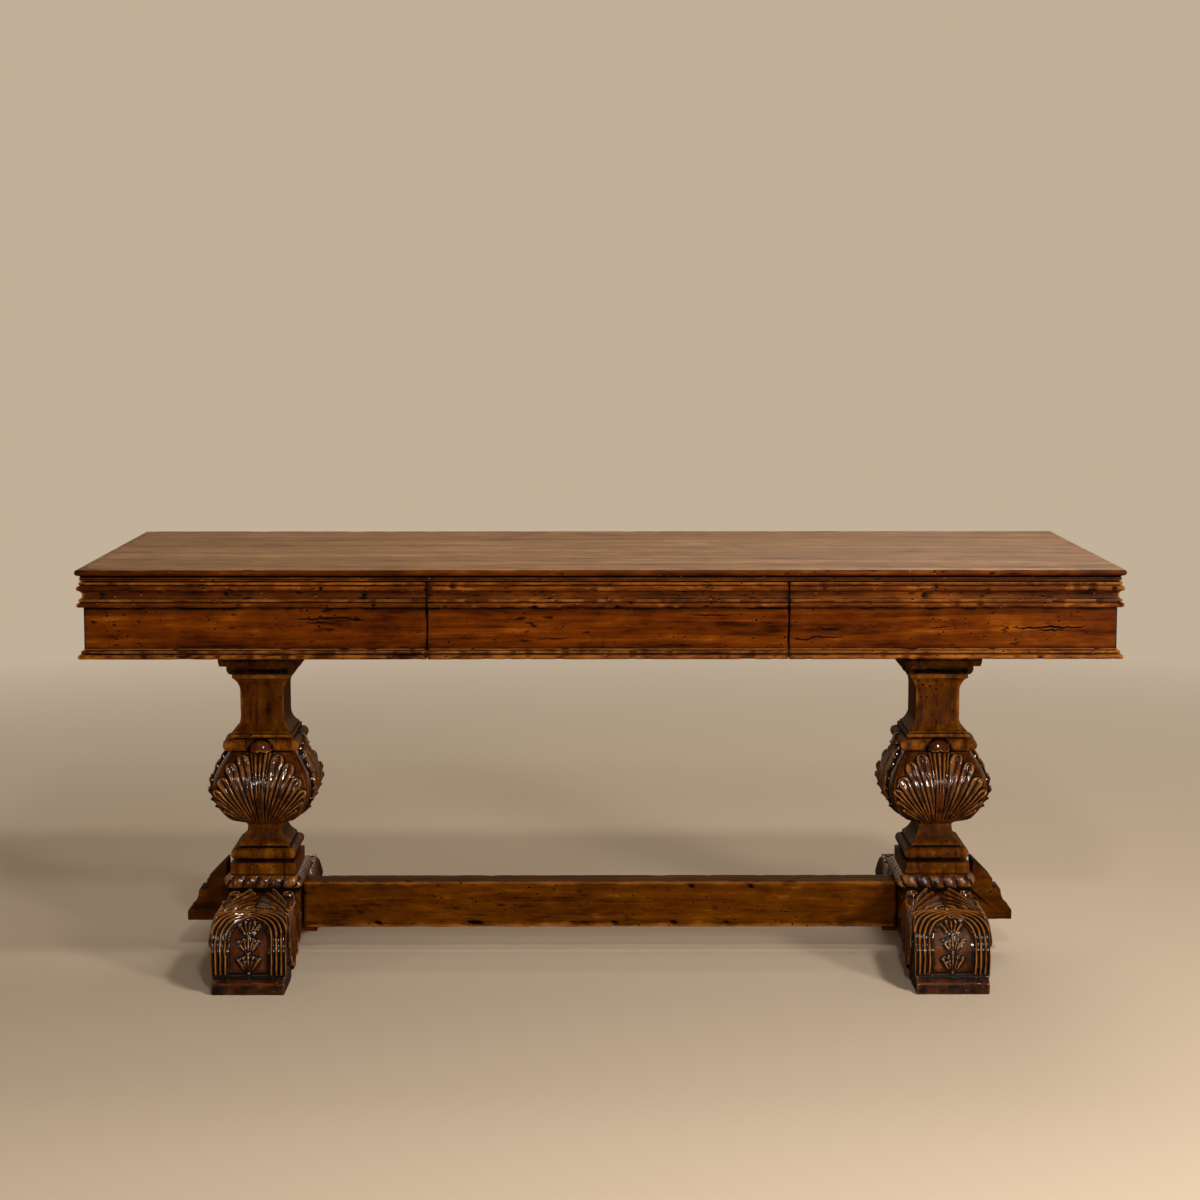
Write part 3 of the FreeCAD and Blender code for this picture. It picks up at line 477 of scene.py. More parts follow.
def wear_edges(piece, seed, chip, wave):
    """Hand-worked waviness all over, and chips where an edge stands out."""
    points = points_of(piece)
    proud = np.clip(-hollows_of(piece, rounds=10) / 0.5, 0, 1)
    bites = np.clip(rough(points, 0.013, seed) * 1.6 - 0.35, 0, 1)
    bites += 0.8 * np.clip(rough(points, 0.030, seed + 3) * 1.8 - 0.75, 0, 1)
    depth = wave * rough(points, 0.045, seed + 5) + chip * proud * bites
    set_points(piece, points - normals_of(piece) * (depth * MM)[:, None])


# %% Place in the table
made = []


def put_in_place(piece, finish, slot, body, *nodes):
    """Gives a piece its finish, its body, and the CAD nodes that it stands for."""
    piece.data.materials.clear()
    piece.data.materials.append(finishes[finish])
    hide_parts(*nodes)
    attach(piece, body)
    made.append(piece.name)


print("pieces in place:", len(made))

# %% [markdown]
# ## Sections of the mouldings
# The edge of the top, the cornice and the bead are planed: one section along a whole run. A curve with a
# bevel profile would draw them too, but its corners do not mitre cleanly. So the sections are drawn
# once, as (out, up) points in millimetres. `bow` gives the points of a round or a hollow between two
# corners.


# %% Moulding sections
def bow(start, end, rise, count):
    """Points of a circular arc after start, up to and with end; rise lifts it to the right of the way."""
    (u0, v0), (u1, v1) = start, end
    chord = math.hypot(u1 - u0, v1 - v0)
    radius = (chord * chord / 4 + rise * rise) / (2 * abs(rise))
    half = math.asin(min(1, chord / 2 / radius))
    if abs(rise) > chord / 2:
        half = math.pi - half
    along = ((u1 - u0) / chord, (v1 - v0) / chord)
    side = (along[1] * math.copysign(1, rise), -along[0] * math.copysign(1, rise))
    points = []
    for step in range(1, count + 1):
        angle = -half + 2 * half * step / count
        run = chord / 2 + radius * math.sin(angle)
        lift = radius * (math.cos(angle) - math.cos(half))
        points.append((u0 + along[0] * run + side[0] * lift, v0 + along[1] * run + side[1] * lift))
    return points


EDGE = [(0, 0), (10, 0), (20.5, 0), (20.5, 2.2), (18.5, 2.4), (18.5, 3.2), (21, 3.4), (21, 5.4), (19, 5.8)]
EDGE += bow((19, 5.8), (22.5, 9), -0.8, 4) + bow((22.5, 9), (22.5, 20), 5.5, 12)
EDGE += [(18, 20), (12, 20), (0, 20), (0, 10)]
CORNICE = [(0, 0), (3, 0), (6.75, 0)] + bow((6.75, 0), (6.75, 8.6), 4.3, 10)
CORNICE += [(5.4, 9.4), (5.4, 10.2), (7.6, 10.6), (7.6, 12.4), (7.6, 14.2), (5.4, 14.8)]
CORNICE += bow((5.4, 14.8), (6.25, 28.8), -3.6, 10) + bow((6.25, 28.8), (6.25, 38.3), 4.75, 10)
CORNICE += [(5.6, 38.9), (5.6, 39.8), (7, 40.2), (7, 42), (7, 44), (3, 44), (0, 44), (0, 22)]
BEAD = [(0, 0), (3, 0), (6.4, 0)] + bow((6.4, 0), (6.4, 8.2), 4.1, 10) + [(3.4, 8.8), (3.4, 9.6)]
BEAD += bow((3.4, 9.6), (3, 15), 2.6, 8) + [(1.4, 15.4), (1, 16.4), (1, 18), (0, 18), (0, 9)]
print("section points:", len(EDGE), len(CORNICE), len(BEAD))

# %% [markdown]
# A run starts as a filled circle with one point for each point of the section. The section is set in
# place, extruded along X, mitred by moving the far and near points out, and cut into short lengths so
# that wear has points to move. The front run is then turned to the other sides. A few sparse dark knocks
# go on last.

# %% Runs of moulding
TURNS = {"front": 0, "right": 90, "back": 180, "left": 270}
STATION = 0.006
KNOCK_SIZE = 0.006
SEAM_WIDTH = 1.5


def plane_run(name, section, reach, run, mitres, base):
    """One section along X, mitred where asked, with points every few millimetres; lengths in metres."""
    clear_selection()
    bpy.ops.mesh.primitive_circle_add(vertices=len(section), fill_type="NGON")
    piece = bpy.context.object
    piece.name = name
    outs, ups = np.array(section).T * MM
    set_points(piece, np.stack([run[0] - mitres[0] * outs, -(reach + outs), base + ups], 1))
    bpy.ops.object.mode_set(mode="EDIT")
    bpy.ops.mesh.select_all(action="SELECT")
    bpy.ops.mesh.extrude_region_move(TRANSFORM_OT_translate={"value": (run[1] - run[0], 0, 0)})
    bpy.ops.object.mode_set(mode="OBJECT")
    points, edges = points_of(piece), edges_of(piece)
    chosen = np.empty(len(points), bool)
    piece.data.vertices.foreach_get("select", chosen)
    points[chosen, 0] = run[1] + mitres[1] * (-points[chosen, 1] - reach)
    set_points(piece, points)
    cut_edges(piece, chosen[edges[:, 0]] != chosen[edges[:, 1]], int((run[1] - run[0]) / STATION))
    close_shell(piece, fill=False)
    return piece


def run_moulding(
    name, section, reach, run, mitres, base, side,
    wave=0.2, chip=1.3, seam=0.0, proud=0.9, grime_and_shade=0.0,
):
    """A worn length of moulding on the face that lies reach from the middle."""
    piece = plane_run(name, section, reach, run, mitres, base)
    along = points_of(piece)[:, 0]
    gap = np.minimum(along - run[0] if not mitres[0] else 1, run[1] - along if not mitres[1] else 1) / MM
    piece.data.transform(Matrix.Rotation(math.radians(TURNS[side]), 4, "Z"))
    wear_edges(piece, len(made) + 1, chip, wave)
    glaze_and_shade = grime_and_shade + seam * np.exp(-np.abs(gap) / SEAM_WIDTH)
    write_hollows(piece, glaze_and_shade, rounds=4, deep=2.6, proud=proud, start=0.15)
    points = points_of(piece)
    knocks = np.clip(rough(points, KNOCK_SIZE, len(made) + 9) * 2.4 - 1.0, 0, 1)
    add_glaze_and_shade(piece, 0.42 * knocks + 0.14 * rough(points, 5 * KNOCK_SIZE, len(made) + 11))
    smooth_shade(piece)
    return piece


print("mouldings have points every", STATION / MM, "mm")

# %% [markdown]
# The edge of the top has two fillets under a round nosing. The whole edge is darkened, the fillets and the
# groove under the nosing most, as painted shade, and the crown less; the flat upper face takes the finish
# of the top.

# %% Top edges
SLOT_TOP, SLOT_APRON, SLOT_CARVED = "walnut_top", "walnut_apron", "walnut_carved"
FIELD = (0.887, 0.352)
TOP_Z = 0.750
EDGE_GROOVE, EDGE_CROWN = (0.0095, 0.0070), (0.017, 0.019)
for side in TURNS:
    half, reach = FIELD if side in ("front", "back") else FIELD[::-1]
    edge = run_moulding(f"worn_top_edge_{side}", EDGE, reach, (-half, half), (1, 1), TOP_Z, side, 0.06, 0.7)
    height = points_of(edge)[:, 2] - TOP_Z
    # Darker all over, painted shade on the fillets and the groove under the nosing, and lighter on the
    # crown
    add_glaze_and_shade(edge, 0.5 + 0.5 * ease(*EDGE_GROOVE, height) - 0.38 * ease(*EDGE_CROWN, height))
    finish = "planed" if side in ("front", "back") else "planed_cross"
    put_in_place(edge, finish, SLOT_TOP, "table", f"top_edge_{side}")
    edge.data.materials.append(finishes["top"])
    for face in edge.data.polygons:
        face.material_index = int(face.normal.z > 0.9 and face.center.z > TOP_Z + 0.018)
print("top edges:", made)

# %% [markdown]
# Cornice and bead run round the apron. On the front each drawer carries its own length, with a dark line
# at the seams, and the outer ends are mitred against the runs of the ends.

# %% Cornice and bead
FACE = (0.902, 0.367)
CORNICE_Z, BEAD_Z = 0.703, 0.612
SEAMS = (-0.3036, 0.3284)
HALF_SEAM = 0.001
DRAWERS = {
    "left": ((-FACE[0], SEAMS[0] - HALF_SEAM), (1, 0)),
    "centre": ((SEAMS[0] + HALF_SEAM, SEAMS[1] - HALF_SEAM), (0, 0)),
    "right": ((SEAMS[1] + HALF_SEAM, FACE[0]), (0, 1)),
}
NEAR = FACE[1] - 0.001
SIDE_RUNS = {
    "left": ("end_{}_left", (-FACE[1], NEAR), FACE[0]),
    "right": ("end_{}_right", (-NEAR, FACE[1]), FACE[0]),
    "back": ("back_{}", (-FACE[0], FACE[0]), FACE[1]),
}
BANDS = (("cornice", CORNICE, CORNICE_Z, 0.1), ("bead", BEAD, BEAD_Z, -0.24))
for kind, section, base, grime_and_shade in BANDS:
    for drawer, (run, mitres) in DRAWERS.items():
        node = f"drawer_{drawer}_{kind}"
        shape = (section, FACE[1], run, mitres, base, "front")
        piece = run_moulding(f"worn_{node}", *shape, seam=1.4, grime_and_shade=grime_and_shade)
        put_in_place(piece, "planed", SLOT_APRON, f"drawer_{drawer}", node)
    for side, (pattern, run, reach) in SIDE_RUNS.items():
        node = pattern.format(kind)
        piece = run_moulding(f"worn_{node}", section, reach, run, (1, 1), base, side, grime_and_shade=grime_and_shade)
        put_in_place(piece, "planed" if side == "back" else "planed_cross", SLOT_APRON, "table", node)
print(len(made), "runs of moulding")

# %% [markdown]
# ## Boards
# The apron fronts and the top are flat boards with a long life: dents and splits along the grain. Bump in
# the material would show them only face on. A grid gives the show face enough points to carve them, and
# its rim is extruded back by the thickness of the board and filled. The apron boards also get painted
# shade in the corners under the cornice and over the bead.


# %% Board helpers
def grid_points(name, columns, rows):
    """Adds a grid and returns it with the share of each point across and up, from 0 to 1."""
    clear_selection()
    bpy.ops.mesh.primitive_grid_add(x_subdivisions=columns, y_subdivisions=rows, size=2)
    piece = bpy.context.object
    piece.name = name
    flat = points_of(piece)
    return piece, (flat[:, 0] + 1) / 2, (flat[:, 1] + 1) / 2


def back_up(piece, thick):
    """Extrudes the rim of a sheet and fills its back."""
    take_up(piece)
    bpy.context.tool_settings.mesh_select_mode = (False, True, False)
    bpy.ops.object.mode_set(mode="EDIT")
    bpy.ops.mesh.select_all(action="DESELECT")
    bpy.ops.mesh.select_non_manifold(
        extend=False, use_wire=False, use_multi_face=False, use_non_contiguous=False, use_verts=False
    )
    bpy.ops.mesh.extrude_edges_move(TRANSFORM_OT_translate={"value": thick})
    bpy.ops.mesh.edge_face_add()
    bpy.ops.mesh.select_all(action="SELECT")
    bpy.ops.mesh.normals_make_consistent(inside=False)
    bpy.ops.object.mode_set(mode="OBJECT")


def pits(points, seed, depth=0.7):
    """Small knocks and worm channels, in millimetres below the face."""
    gathered = np.clip(rough(points, 0.05, seed + 1) * 2, 0, 1)
    knocks = np.clip(rough(points, 0.007, seed) * 2.2 - 1.25, 0, 1) * gathered
    scrapes = np.clip(rough(points * (0.25, 1, 1), 0.006, seed + 2) * 2.2 - 1.35, 0, 1)
    return depth * (knocks + 0.6 * scrapes)


def split(points, seed, start, end, height, depth):
    """A jagged split along the grain of a front board, in millimetres."""
    run, grain = points[:, 0] / MM, points * (1, 0, 0)
    level = height + 3.2 * rough(grain, 0.021, seed) + 1.4 * rough(grain, 0.006, seed + 1)
    middle, half = (start + end) / 2, abs(end - start) / 2
    taper = np.clip(1 - ((run - middle) / half) ** 2, 0, 1)
    width = 0.6 + 0.9 * taper * (0.6 + 0.4 * rough(grain, 0.012, seed + 2))
    return depth * np.sqrt(taper) * np.exp(-(((points[:, 2] / MM - level) / width) ** 2))


# %% Apron boards
BOARD_CELL = (0.0030, 0.0014)
APRON_TOP, BOARD_THICK = 0.747, 0.022
# Height and strength of the painted shade under the cornice and over the bead
PAINTED_SHADE_LINES = ((702, 0.55), (630, 0.45))
# Start, end and height of each split, and its depth, in millimetres
SPLITS = {
    "left": [(-532, -410, 682, 1.8), (-515, -470, 677, 1.0)],
    "centre": [(-120, -50, 648, 0.6), (150, 230, 688, 0.6)],
    "right": [
        (380, 416, 665, 1.3), (716, 850, 667, 2.0), (760, 815, 662, 1.0), (570, 612, 668, 0.6),
        (333, 430, 648, 0.8),
    ],
}


def apron_board(name, run, mitres, reach, side, low=BEAD_Z, splits=()):
    seed = len(made) + 1
    columns = int((run[1] - run[0]) / BOARD_CELL[0])
    rows = int((APRON_TOP - low) / BOARD_CELL[1])
    piece, across, up = grid_points(name, columns, rows)
    points = np.stack([
        run[0] + (run[1] - run[0]) * across,
        np.full(len(across), -reach),
        low + (APRON_TOP - low) * up,
    ], 1)
    scars = np.zeros(len(points))
    for number, crack in enumerate(splits):
        scars = scars + split(points, seed + 9 * number, *crack)
    depth = scars + pits(points, seed) + 0.3 * rough(points * (0.3, 1, 1), 0.03, seed + 4)
    rim = np.minimum(points[:, 0] - run[0], run[1] - points[:, 0]) / MM
    depth = depth + 0.5 * np.clip(1 - rim / 1.5, 0, 1)
    points[:, 1] += np.clip(depth, -0.3, 3) * MM
    set_points(piece, points)
    back_up(piece, (0, BOARD_THICK, 0))
    points = points_of(piece)
    behind = points[:, 1] > -reach + BOARD_THICK / 2
    points[behind, 1] = -reach + BOARD_THICK
    points[behind & (points[:, 0] < run[0] + 1e-5), 0] += mitres[0] * BOARD_THICK
    points[behind & (points[:, 0] > run[1] - 1e-5), 0] -= mitres[1] * BOARD_THICK
    set_points(piece, points)
    rim = np.minimum(points[:, 0] - run[0], run[1] - points[:, 0]) / MM
    # Painted shade in bands under the cornice and over the bead; dark seams at the board ends, glaze in the
    # splits
    grime_and_shade = sum(amount * np.exp(-np.abs(points[:, 2] / MM - height) / 5) for height, amount in PAINTED_SHADE_LINES)
    grime_and_shade += 0.7 * np.exp(-np.abs(rim) / 0.8)
    grime_and_shade = grime_and_shade * (1 + 0.6 * rough(points, 0.02, seed))
    grime_and_shade[: len(scars)] += 0.9 * scars
    write_hollows(piece, grime_and_shade, rounds=3, deep=1.2, proud=0.2)
    piece.data.transform(Matrix.Rotation(math.radians(TURNS[side]), 4, "Z"))
    smooth_shade(piece)
    return piece


for drawer, (run, mitres) in DRAWERS.items():
    node = f"drawer_{drawer}_front"
    piece = apron_board(f"worn_{node}", run, mitres, FACE[1], "front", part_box(node)[0].z, SPLITS[drawer])
    put_in_place(piece, "long", SLOT_APRON, f"drawer_{drawer}", node)
for side, (pattern, run, reach) in SIDE_RUNS.items():
    node = pattern.format("rail")
    piece = apron_board(f"worn_{node}", run, (1, 1), reach, side)
    put_in_place(piece, "long" if side == "back" else "cross", SLOT_APRON, "table", node)
print("apron boards:", made[-6:])

# %% [markdown]
# The top is glued up from boards that have moved a little, so it dips along each glue line. One grid
# carries all the boards, because on the real top they were planed flush together.

# %% Top
TOP_CELL = (0.008, 0.005)
TOP_FACE, TOP_BOARD = 0.770, 0.1408
cuts = [int(2 * half / cell) for half, cell in zip(FIELD, TOP_CELL)]
top, across, up = grid_points("worn_top_boards", *cuts)
points = np.stack([(across * 2 - 1) * FIELD[0], (up * 2 - 1) * FIELD[1], np.full(len(up), TOP_FACE)], 1)
to_glue_line = 0.5 - np.abs((points[:, 1] / TOP_BOARD + 0.5) % 1 - 0.5)
dip = 0.25 * rough(points * (0.3, 1, 1), 0.06, 3)
dip += 0.25 * np.exp(-((to_glue_line * TOP_BOARD / MM / 2.5) ** 2))
dip += pits(points, 11, 0.5)
points[:, 2] -= np.clip(dip, -0.2, 1) * MM
set_points(top, points)
back_up(top, (0, 0, TOP_Z - TOP_FACE))
points = points_of(top)
points[points[:, 2] < (TOP_Z + TOP_FACE) / 2, 2] = TOP_Z
set_points(top, points)
write_hollows(top, 0, rounds=4, deep=1.5, proud=0.5)
smooth_shade(top)
put_in_place(top, "top", SLOT_TOP, "table", "top_boards")
print("top of", len(top.data.polygons), "faces")

# %% [markdown]
# ## Square stacks
# Neck, waist, capital and die are square in plan, so they can't be spun. They are built like a stack of
# frames: a rectangle is extruded from level to level and scaled to each width. Every level is 44 mm
# deeper than it is wide. The sides are then cut into narrow strips, and the corners are softened and
# chipped. One is made on the axis and copied to both legs.

# %% Stacks of the legs
DEEPER = 22
STRIPS = 30


def stack(name, levels, grime_and_shade):
    """Levels are (half width across the front, height) in millimetres, from the bottom up."""
    clear_selection()
    bpy.ops.mesh.primitive_plane_add(size=2)
    piece = bpy.context.object
    piece.name = name
    half, height = levels[0]
    set_points(piece, points_of(piece) * (half * MM, (half + DEEPER) * MM, 0) + (0, 0, height * MM))
    bpy.ops.object.mode_set(mode="EDIT")
    bpy.ops.mesh.select_all(action="SELECT")
    for next_half, next_height in levels[1:]:
        rise = (0, 0, (next_height - height) * MM)
        bpy.ops.mesh.extrude_region_move(TRANSFORM_OT_translate={"value": rise})
        bpy.ops.transform.resize(
            value=(next_half / half, (next_half + DEEPER) / (half + DEEPER), 1),
            center_override=(0, 0, next_height * MM),
        )
        half, height = next_half, next_height
    bpy.ops.object.mode_set(mode="OBJECT")
    points, edges = points_of(piece), edges_of(piece)
    span = np.abs(points[edges[:, 0]] - points[edges[:, 1]])
    level = (span[:, 2] < 1e-6) & ((span[:, 0] < 1e-6) | (span[:, 1] < 1e-6))
    cut_edges(piece, level, STRIPS)
    bpy.ops.object.mode_set(mode="EDIT")
    bpy.ops.mesh.select_all(action="SELECT")
    bpy.ops.mesh.vertices_smooth(factor=0.35, repeat=1)
    bpy.ops.mesh.normals_make_consistent(inside=False)
    bpy.ops.object.mode_set(mode="OBJECT")
    wear_edges(piece, len(made) + 2, chip=0.9, wave=0.3)
    write_hollows(piece, grime_and_shade(points_of(piece) / MM), rounds=7, deep=1.3, proud=0.4, start=0.3)
    smooth_shade(piece, 50)
    return piece


print("stacks are cut into", STRIPS + 1, "strips a side")

# %% Copies for both legs
LEG_X = 0.631
LEGS = {"left": -LEG_X, "right": LEG_X}


def copy_to(piece, name, shift, turn=0, mirror=False):
    """A copy with its own mesh, turned about the leg's axis and moved."""
    twin = bpy.data.objects.new(name, piece.data.copy())
    bpy.context.scene.collection.objects.link(twin)
    if mirror:
        twin.data.transform(Matrix.Scale(-1, 4, (1, 0, 0)))
        twin.data.flip_normals()
    twin.data.transform(Matrix.Translation(shift) @ Matrix.Rotation(math.radians(turn), 4, "Z"))
    return twin


def stand_on_legs(piece, pattern, finish, node, mirrored=False):
    """Copies a piece made on the axis to both legs and drops the pattern piece."""
    for leg, x in LEGS.items():
        twin = copy_to(piece, pattern.format(leg), (x, 0, 0), mirror=mirrored and leg == "right")
        put_in_place(twin, finish, SLOT_CARVED, "table", node.format(leg))
    bpy.data.objects.remove(piece)


print("legs at", LEGS)

# %% Levels of the stacks
PLATE = [(74.5, 560), (76.5, 567), (77.5, 577), (78.5, 584), (79.5, 592), (81, 602), (82, 612)]
BED = [(57, 543)] + bow((57, 543), (63, 556), 2.0, 6) + [(63, 560)]
NECK = [(59.75, 399.8)] + bow((59.75, 399.8), (59.75, 422.3), 11.25, 14)
NECK += [(59, 422.3), (59, 426), (59, 430.8), (54.5, 430.8), (54.5, 435.3), (52, 435.3)]
NECK += bow((52, 435.3), (40.5, 461.3), -3.0, 10)
NECK += [(40.5, 461.3 + 47.7 * share / 8) for share in range(1, 9)]
NECK += bow((40.5, 509), (52, 535), -3.0, 10) + [(54.5, 535), (54.5, 539), (54.5, 543)]
WAIST = [(49.85, 187.5), (49.85, 193.5)] + bow((49.85, 193.5), (49.85, 214.8), 10.65, 12)
WAIST += [(48.5, 214.8), (48.5, 220.3)] + bow((48.5, 220.3), (31, 252.3), -4.7, 10) + [(31, 258)]
DIE = [(61, 165.5), (61, 169), (61, 176), (61, 183), (61, 187.5)]
print("levels:", len(PLATE), len(BED), len(NECK), len(WAIST), len(DIE))

# %% [markdown]
# The hollows of one piece can't show where pieces meet or stand under others. So each stack has a small
# function that adds darkening by height: painted shade round the shell's cap, glaze with painted shade
# in the joints and recesses, and painted shade under the apron.

# %% Glaze and painted shade on the stacks, and the stacks
CAP_HALF, CAP_FOOT = (20.5, 12.5, 18.5), 402.5
# Height and half width of the joints and recesses that are painted dark as shade
JOINTS = ((165, 1.5), (190, 2.8), (217.5, 1.2))


def cap_shadow(points):
    """Painted shade on the torus round the outline of the shell's cap."""
    x, y, z = points.T
    across = np.where(np.abs(y) - DEEPER > np.abs(x), x, y)
    ring = np.hypot(across / CAP_HALF[0], (z - CAP_FOOT) / CAP_HALF[2])
    return 1.3 * np.exp(-(((ring - 1.08) / 0.14) ** 2)) * (z < 424)


def joint_glaze_and_shade(points):
    """Even glaze over the stack, and painted shade in the square recesses and along the joints."""
    return 0.22 + sum(0.8 * np.exp(-(((points[:, 2] - height) / width) ** 4)) for height, width in JOINTS)


def painted_shade_under_apron(points):
    """Even painted shade all over the capital, under the apron."""
    return np.full(len(points), 0.75)


for label, levels, node, grime_and_shade in (
    ("capital_plate", PLATE, "capital_plate_{}", painted_shade_under_apron),
    ("capital_bed", BED, "capital_bed_{}", painted_shade_under_apron),
    ("neck", NECK, "post_{}", cap_shadow),
    ("waist", WAIST, "post_{}", joint_glaze_and_shade),
    ("die", DIE, "die_{}", joint_glaze_and_shade),
):
    stand_on_legs(stack(f"{label}_pattern", levels, grime_and_shade), f"worn_{label}_{{}}", "upright", node)
print("leg stacks:", made[-10:])

# %% [markdown]
# ## The shell bulb
# The bulb is a swollen block with a scallop shell on each of its four faces. A carver would sculpt it,
# but brush strokes can't be repeated exactly, so the shell is a formula. A grid is wrapped round the
# bulb, and each point is lifted along its normal by the height of the carving there. The carving is a
# fan: each lobe follows a line that rises from the foot of the bulb and bends outwards to its tip.

# %% Shell carving
# Foot, tip across, tip height, bend and half width of each lobe beside the centre one
LOBES = (
    (8, 37, 132, 1.6, 15),
    (12, 56, 118, 1.05, 16),
    (15, 72, 92, 0.9, 15),
    (18, 84, 70, 0.9, 12),
    (21, 80, 49, 0.95, 9),
    (24, 68, 33, 1.0, 8),
)
# Half width at the foot and at the top, and height, of the centre lobe
CENTRE_LOBE = (7, 22, 142)


def shell_relief(across, up):
    """Height of the shell in millimetres over the plain bulb, from its foot point."""
    x, rise = np.abs(across), np.clip(up, 0.01, None)
    foot, top, high = CENTRE_LOBE
    edge = foot + (top - foot) * (rise / high) ** 1.9
    lines = [base + (tip - base) * (rise / height) ** bend for base, tip, height, bend, _ in LOBES]
    lines.append(lines[-1] + 2 * LOBES[-1][4])
    relief = np.zeros(len(x))
    for index, (base, tip, height, bend, half) in enumerate(LOBES):
        line = lines[index]
        lean = 1 / np.sqrt(1 + ((tip - base) * bend / height * (rise / height) ** (bend - 1)) ** 2)
        inner = (line - lines[index - 1]) / 2 if index else line - edge
        room = np.clip(np.where(x < line, inner, (lines[index + 1] - line) / 2) * lean, 1.2, half)
        side = np.clip((x - line) * lean / room, -1, 1)
        length = math.hypot(tip - base, height)
        share = np.hypot(x - base, rise) / (length * (1 - 0.08 * np.abs(side) ** 2.2))
        wave = np.abs(np.sin(np.pi * (side * 0.92 + 0.04)))
        pair = 0.62 + 0.38 * wave**0.8
        ribs = 1 - 0.4 * side**2 + ease(3, 5, room) * (pair - 1 + 0.4 * side**2)
        leaf = ribs + (0.70 + 0.30 * wave - ribs) * ease(0.84, 0.92, share)
        wall = np.clip(1 - np.abs(side) ** 6, 0, 1) ** 0.6
        crest = 2.4 + 4.6 * np.clip(share, 0, 1) + 2.2 * np.exp(-(((share - 0.95) / 0.04) ** 2))
        rim = ease(0, 1, (1 - share) * length / 2.0)
        relief = np.maximum(relief, rim * wall * leaf * crest)
    side = np.clip(x / edge, 0, 1)
    share = rise / (high * (1 - 0.04 * side**2))
    barrel = np.clip(1 - side**5, 0, 1) ** 0.6
    flutes = np.abs(np.cos(np.pi * 2.05 * np.clip(side, 0, 0.95)))
    flutes = 1 - 0.5 * ease(0.40, 0.52, share) * (1 - flutes**1.1)
    rim = ease(0, 1, (1 - share) * high / 2.2)
    return np.maximum(relief, rim * barrel * flutes * (2.8 + 5.6 * np.clip(share, 0, 1) ** 1.1))


print("shell of", 2 * len(LOBES) + 1, "lobes")

# %% Plan and swell of the bulb
BULB_SHARES = (0, 0.06, 0.16, 0.30, 0.48, 0.66, 0.84, 1)
BULB_WIDTHS = (0.37, 0.64, 0.82, 0.945, 1, 0.95, 0.82, 0.66)


def swell(share):
    """Width of the bulb at a share of its height, on a smooth curve through the widths."""
    knots, widths = np.array(BULB_SHARES), np.array(BULB_WIDTHS)
    slopes = np.gradient(widths, knots)
    index = np.clip(np.searchsorted(knots, share, side="right") - 1, 0, len(knots) - 2)
    gap = knots[index + 1] - knots[index]
    t = (share - knots[index]) / gap
    return (
        (2 * t**3 - 3 * t**2 + 1) * widths[index]
        + (t**3 - 2 * t**2 + t) * gap * slopes[index]
        + (3 * t**2 - 2 * t**3) * widths[index + 1]
        + (t**3 - t**2) * gap * slopes[index + 1]
    )


# Signs of the corner that each flat or round of a plan starts from, and the angle at which a round starts
PLAN_STARTS = (
    (0, -1, 0), (1, -1, -90), (1, -1, 0), (1, 1, 0), (1, 1, 0),
    (-1, 1, 90), (-1, 1, 0), (-1, -1, 180), (-1, -1, 0),
)
PLAN_WAYS = ((1, 0), (0, 1), (-1, 0), (0, -1), (1, 0))


def rounded_plan(share, half_x, half_y, corner):
    """Point and normal at a share of the way round a rounded rectangle, from the middle of the front."""
    flat_x, flat_y, turn = half_x - corner, half_y - corner, corner * math.pi / 2
    lengths = [flat_x, turn, 2 * flat_y, turn, 2 * flat_x, turn, 2 * flat_y, turn, flat_x]
    stops = np.cumsum([np.zeros_like(half_x)] + lengths, axis=0)
    way = share * stops[-1]
    x, y = np.zeros_like(way), np.zeros_like(way)
    out = np.zeros((len(way), 2))
    for leg, (sx, sy, angle) in enumerate(PLAN_STARTS):
        here = (way >= stops[leg]) & (way <= stops[leg + 1])
        along = way - stops[leg]
        if leg % 2:
            sweep = np.radians(angle) + along / np.maximum(corner, 1e-9)
            px, py = sx * flat_x + corner * np.cos(sweep), sy * flat_y + corner * np.sin(sweep)
            nx, ny = np.cos(sweep), np.sin(sweep)
        else:
            dx, dy = PLAN_WAYS[leg // 2]
            begin_x = 0 if leg == 0 else sx * flat_x if dx else sx * half_x
            begin_y = sy * half_y if dx else sy * flat_y
            px, py = begin_x + dx * along, begin_y + dy * along
            nx, ny = dy + 0 * along, -dx + 0 * along
        x, y = np.where(here, px, x), np.where(here, py, y)
        out[:, 0], out[:, 1] = np.where(here, nx, out[:, 0]), np.where(here, ny, out[:, 1])
    return x, y, out


# %% Bulb
BULB_FOOT, BULB_TOP, BULB_HALF = 252.3, 399.8, 98
BULB_COLUMNS, BULB_ROWS = 600, 150
SHELL_FOOT = 262
bulb, around, up = grid_points("bulb_pattern", BULB_COLUMNS, BULB_ROWS)
half = BULB_HALF * swell(up)
x, y, out = rounded_plan(around, half, half + DEEPER, half * 0.35)
height = BULB_FOOT + (BULB_TOP - BULB_FOOT) * up
low, high = np.clip(up - 0.004, 0, 1), np.clip(up + 0.004, 0, 1)
slope = BULB_HALF * (swell(high) - swell(low)) / ((BULB_TOP - BULB_FOOT) * (high - low))
lean = 1 / np.sqrt(1 + slope**2)
facing_front = np.abs(out[:, 1]) > np.abs(out[:, 0])
room = 6.5 - 5.5 * ease(290, 355, height)
lift = shell_relief(np.where(facing_front, x, y), height - SHELL_FOOT)
lift = lift - room - np.where(facing_front, 0, 2.5)
side = lean * lift
points = np.stack([x + out[:, 0] * side, y + out[:, 1] * side, height - slope * side], 1)
set_points(bulb, points * MM)
close_shell(bulb)
print("bulb of", len(bulb.data.polygons), "faces, carving up to", round(float(lift.max()), 1), "mm")

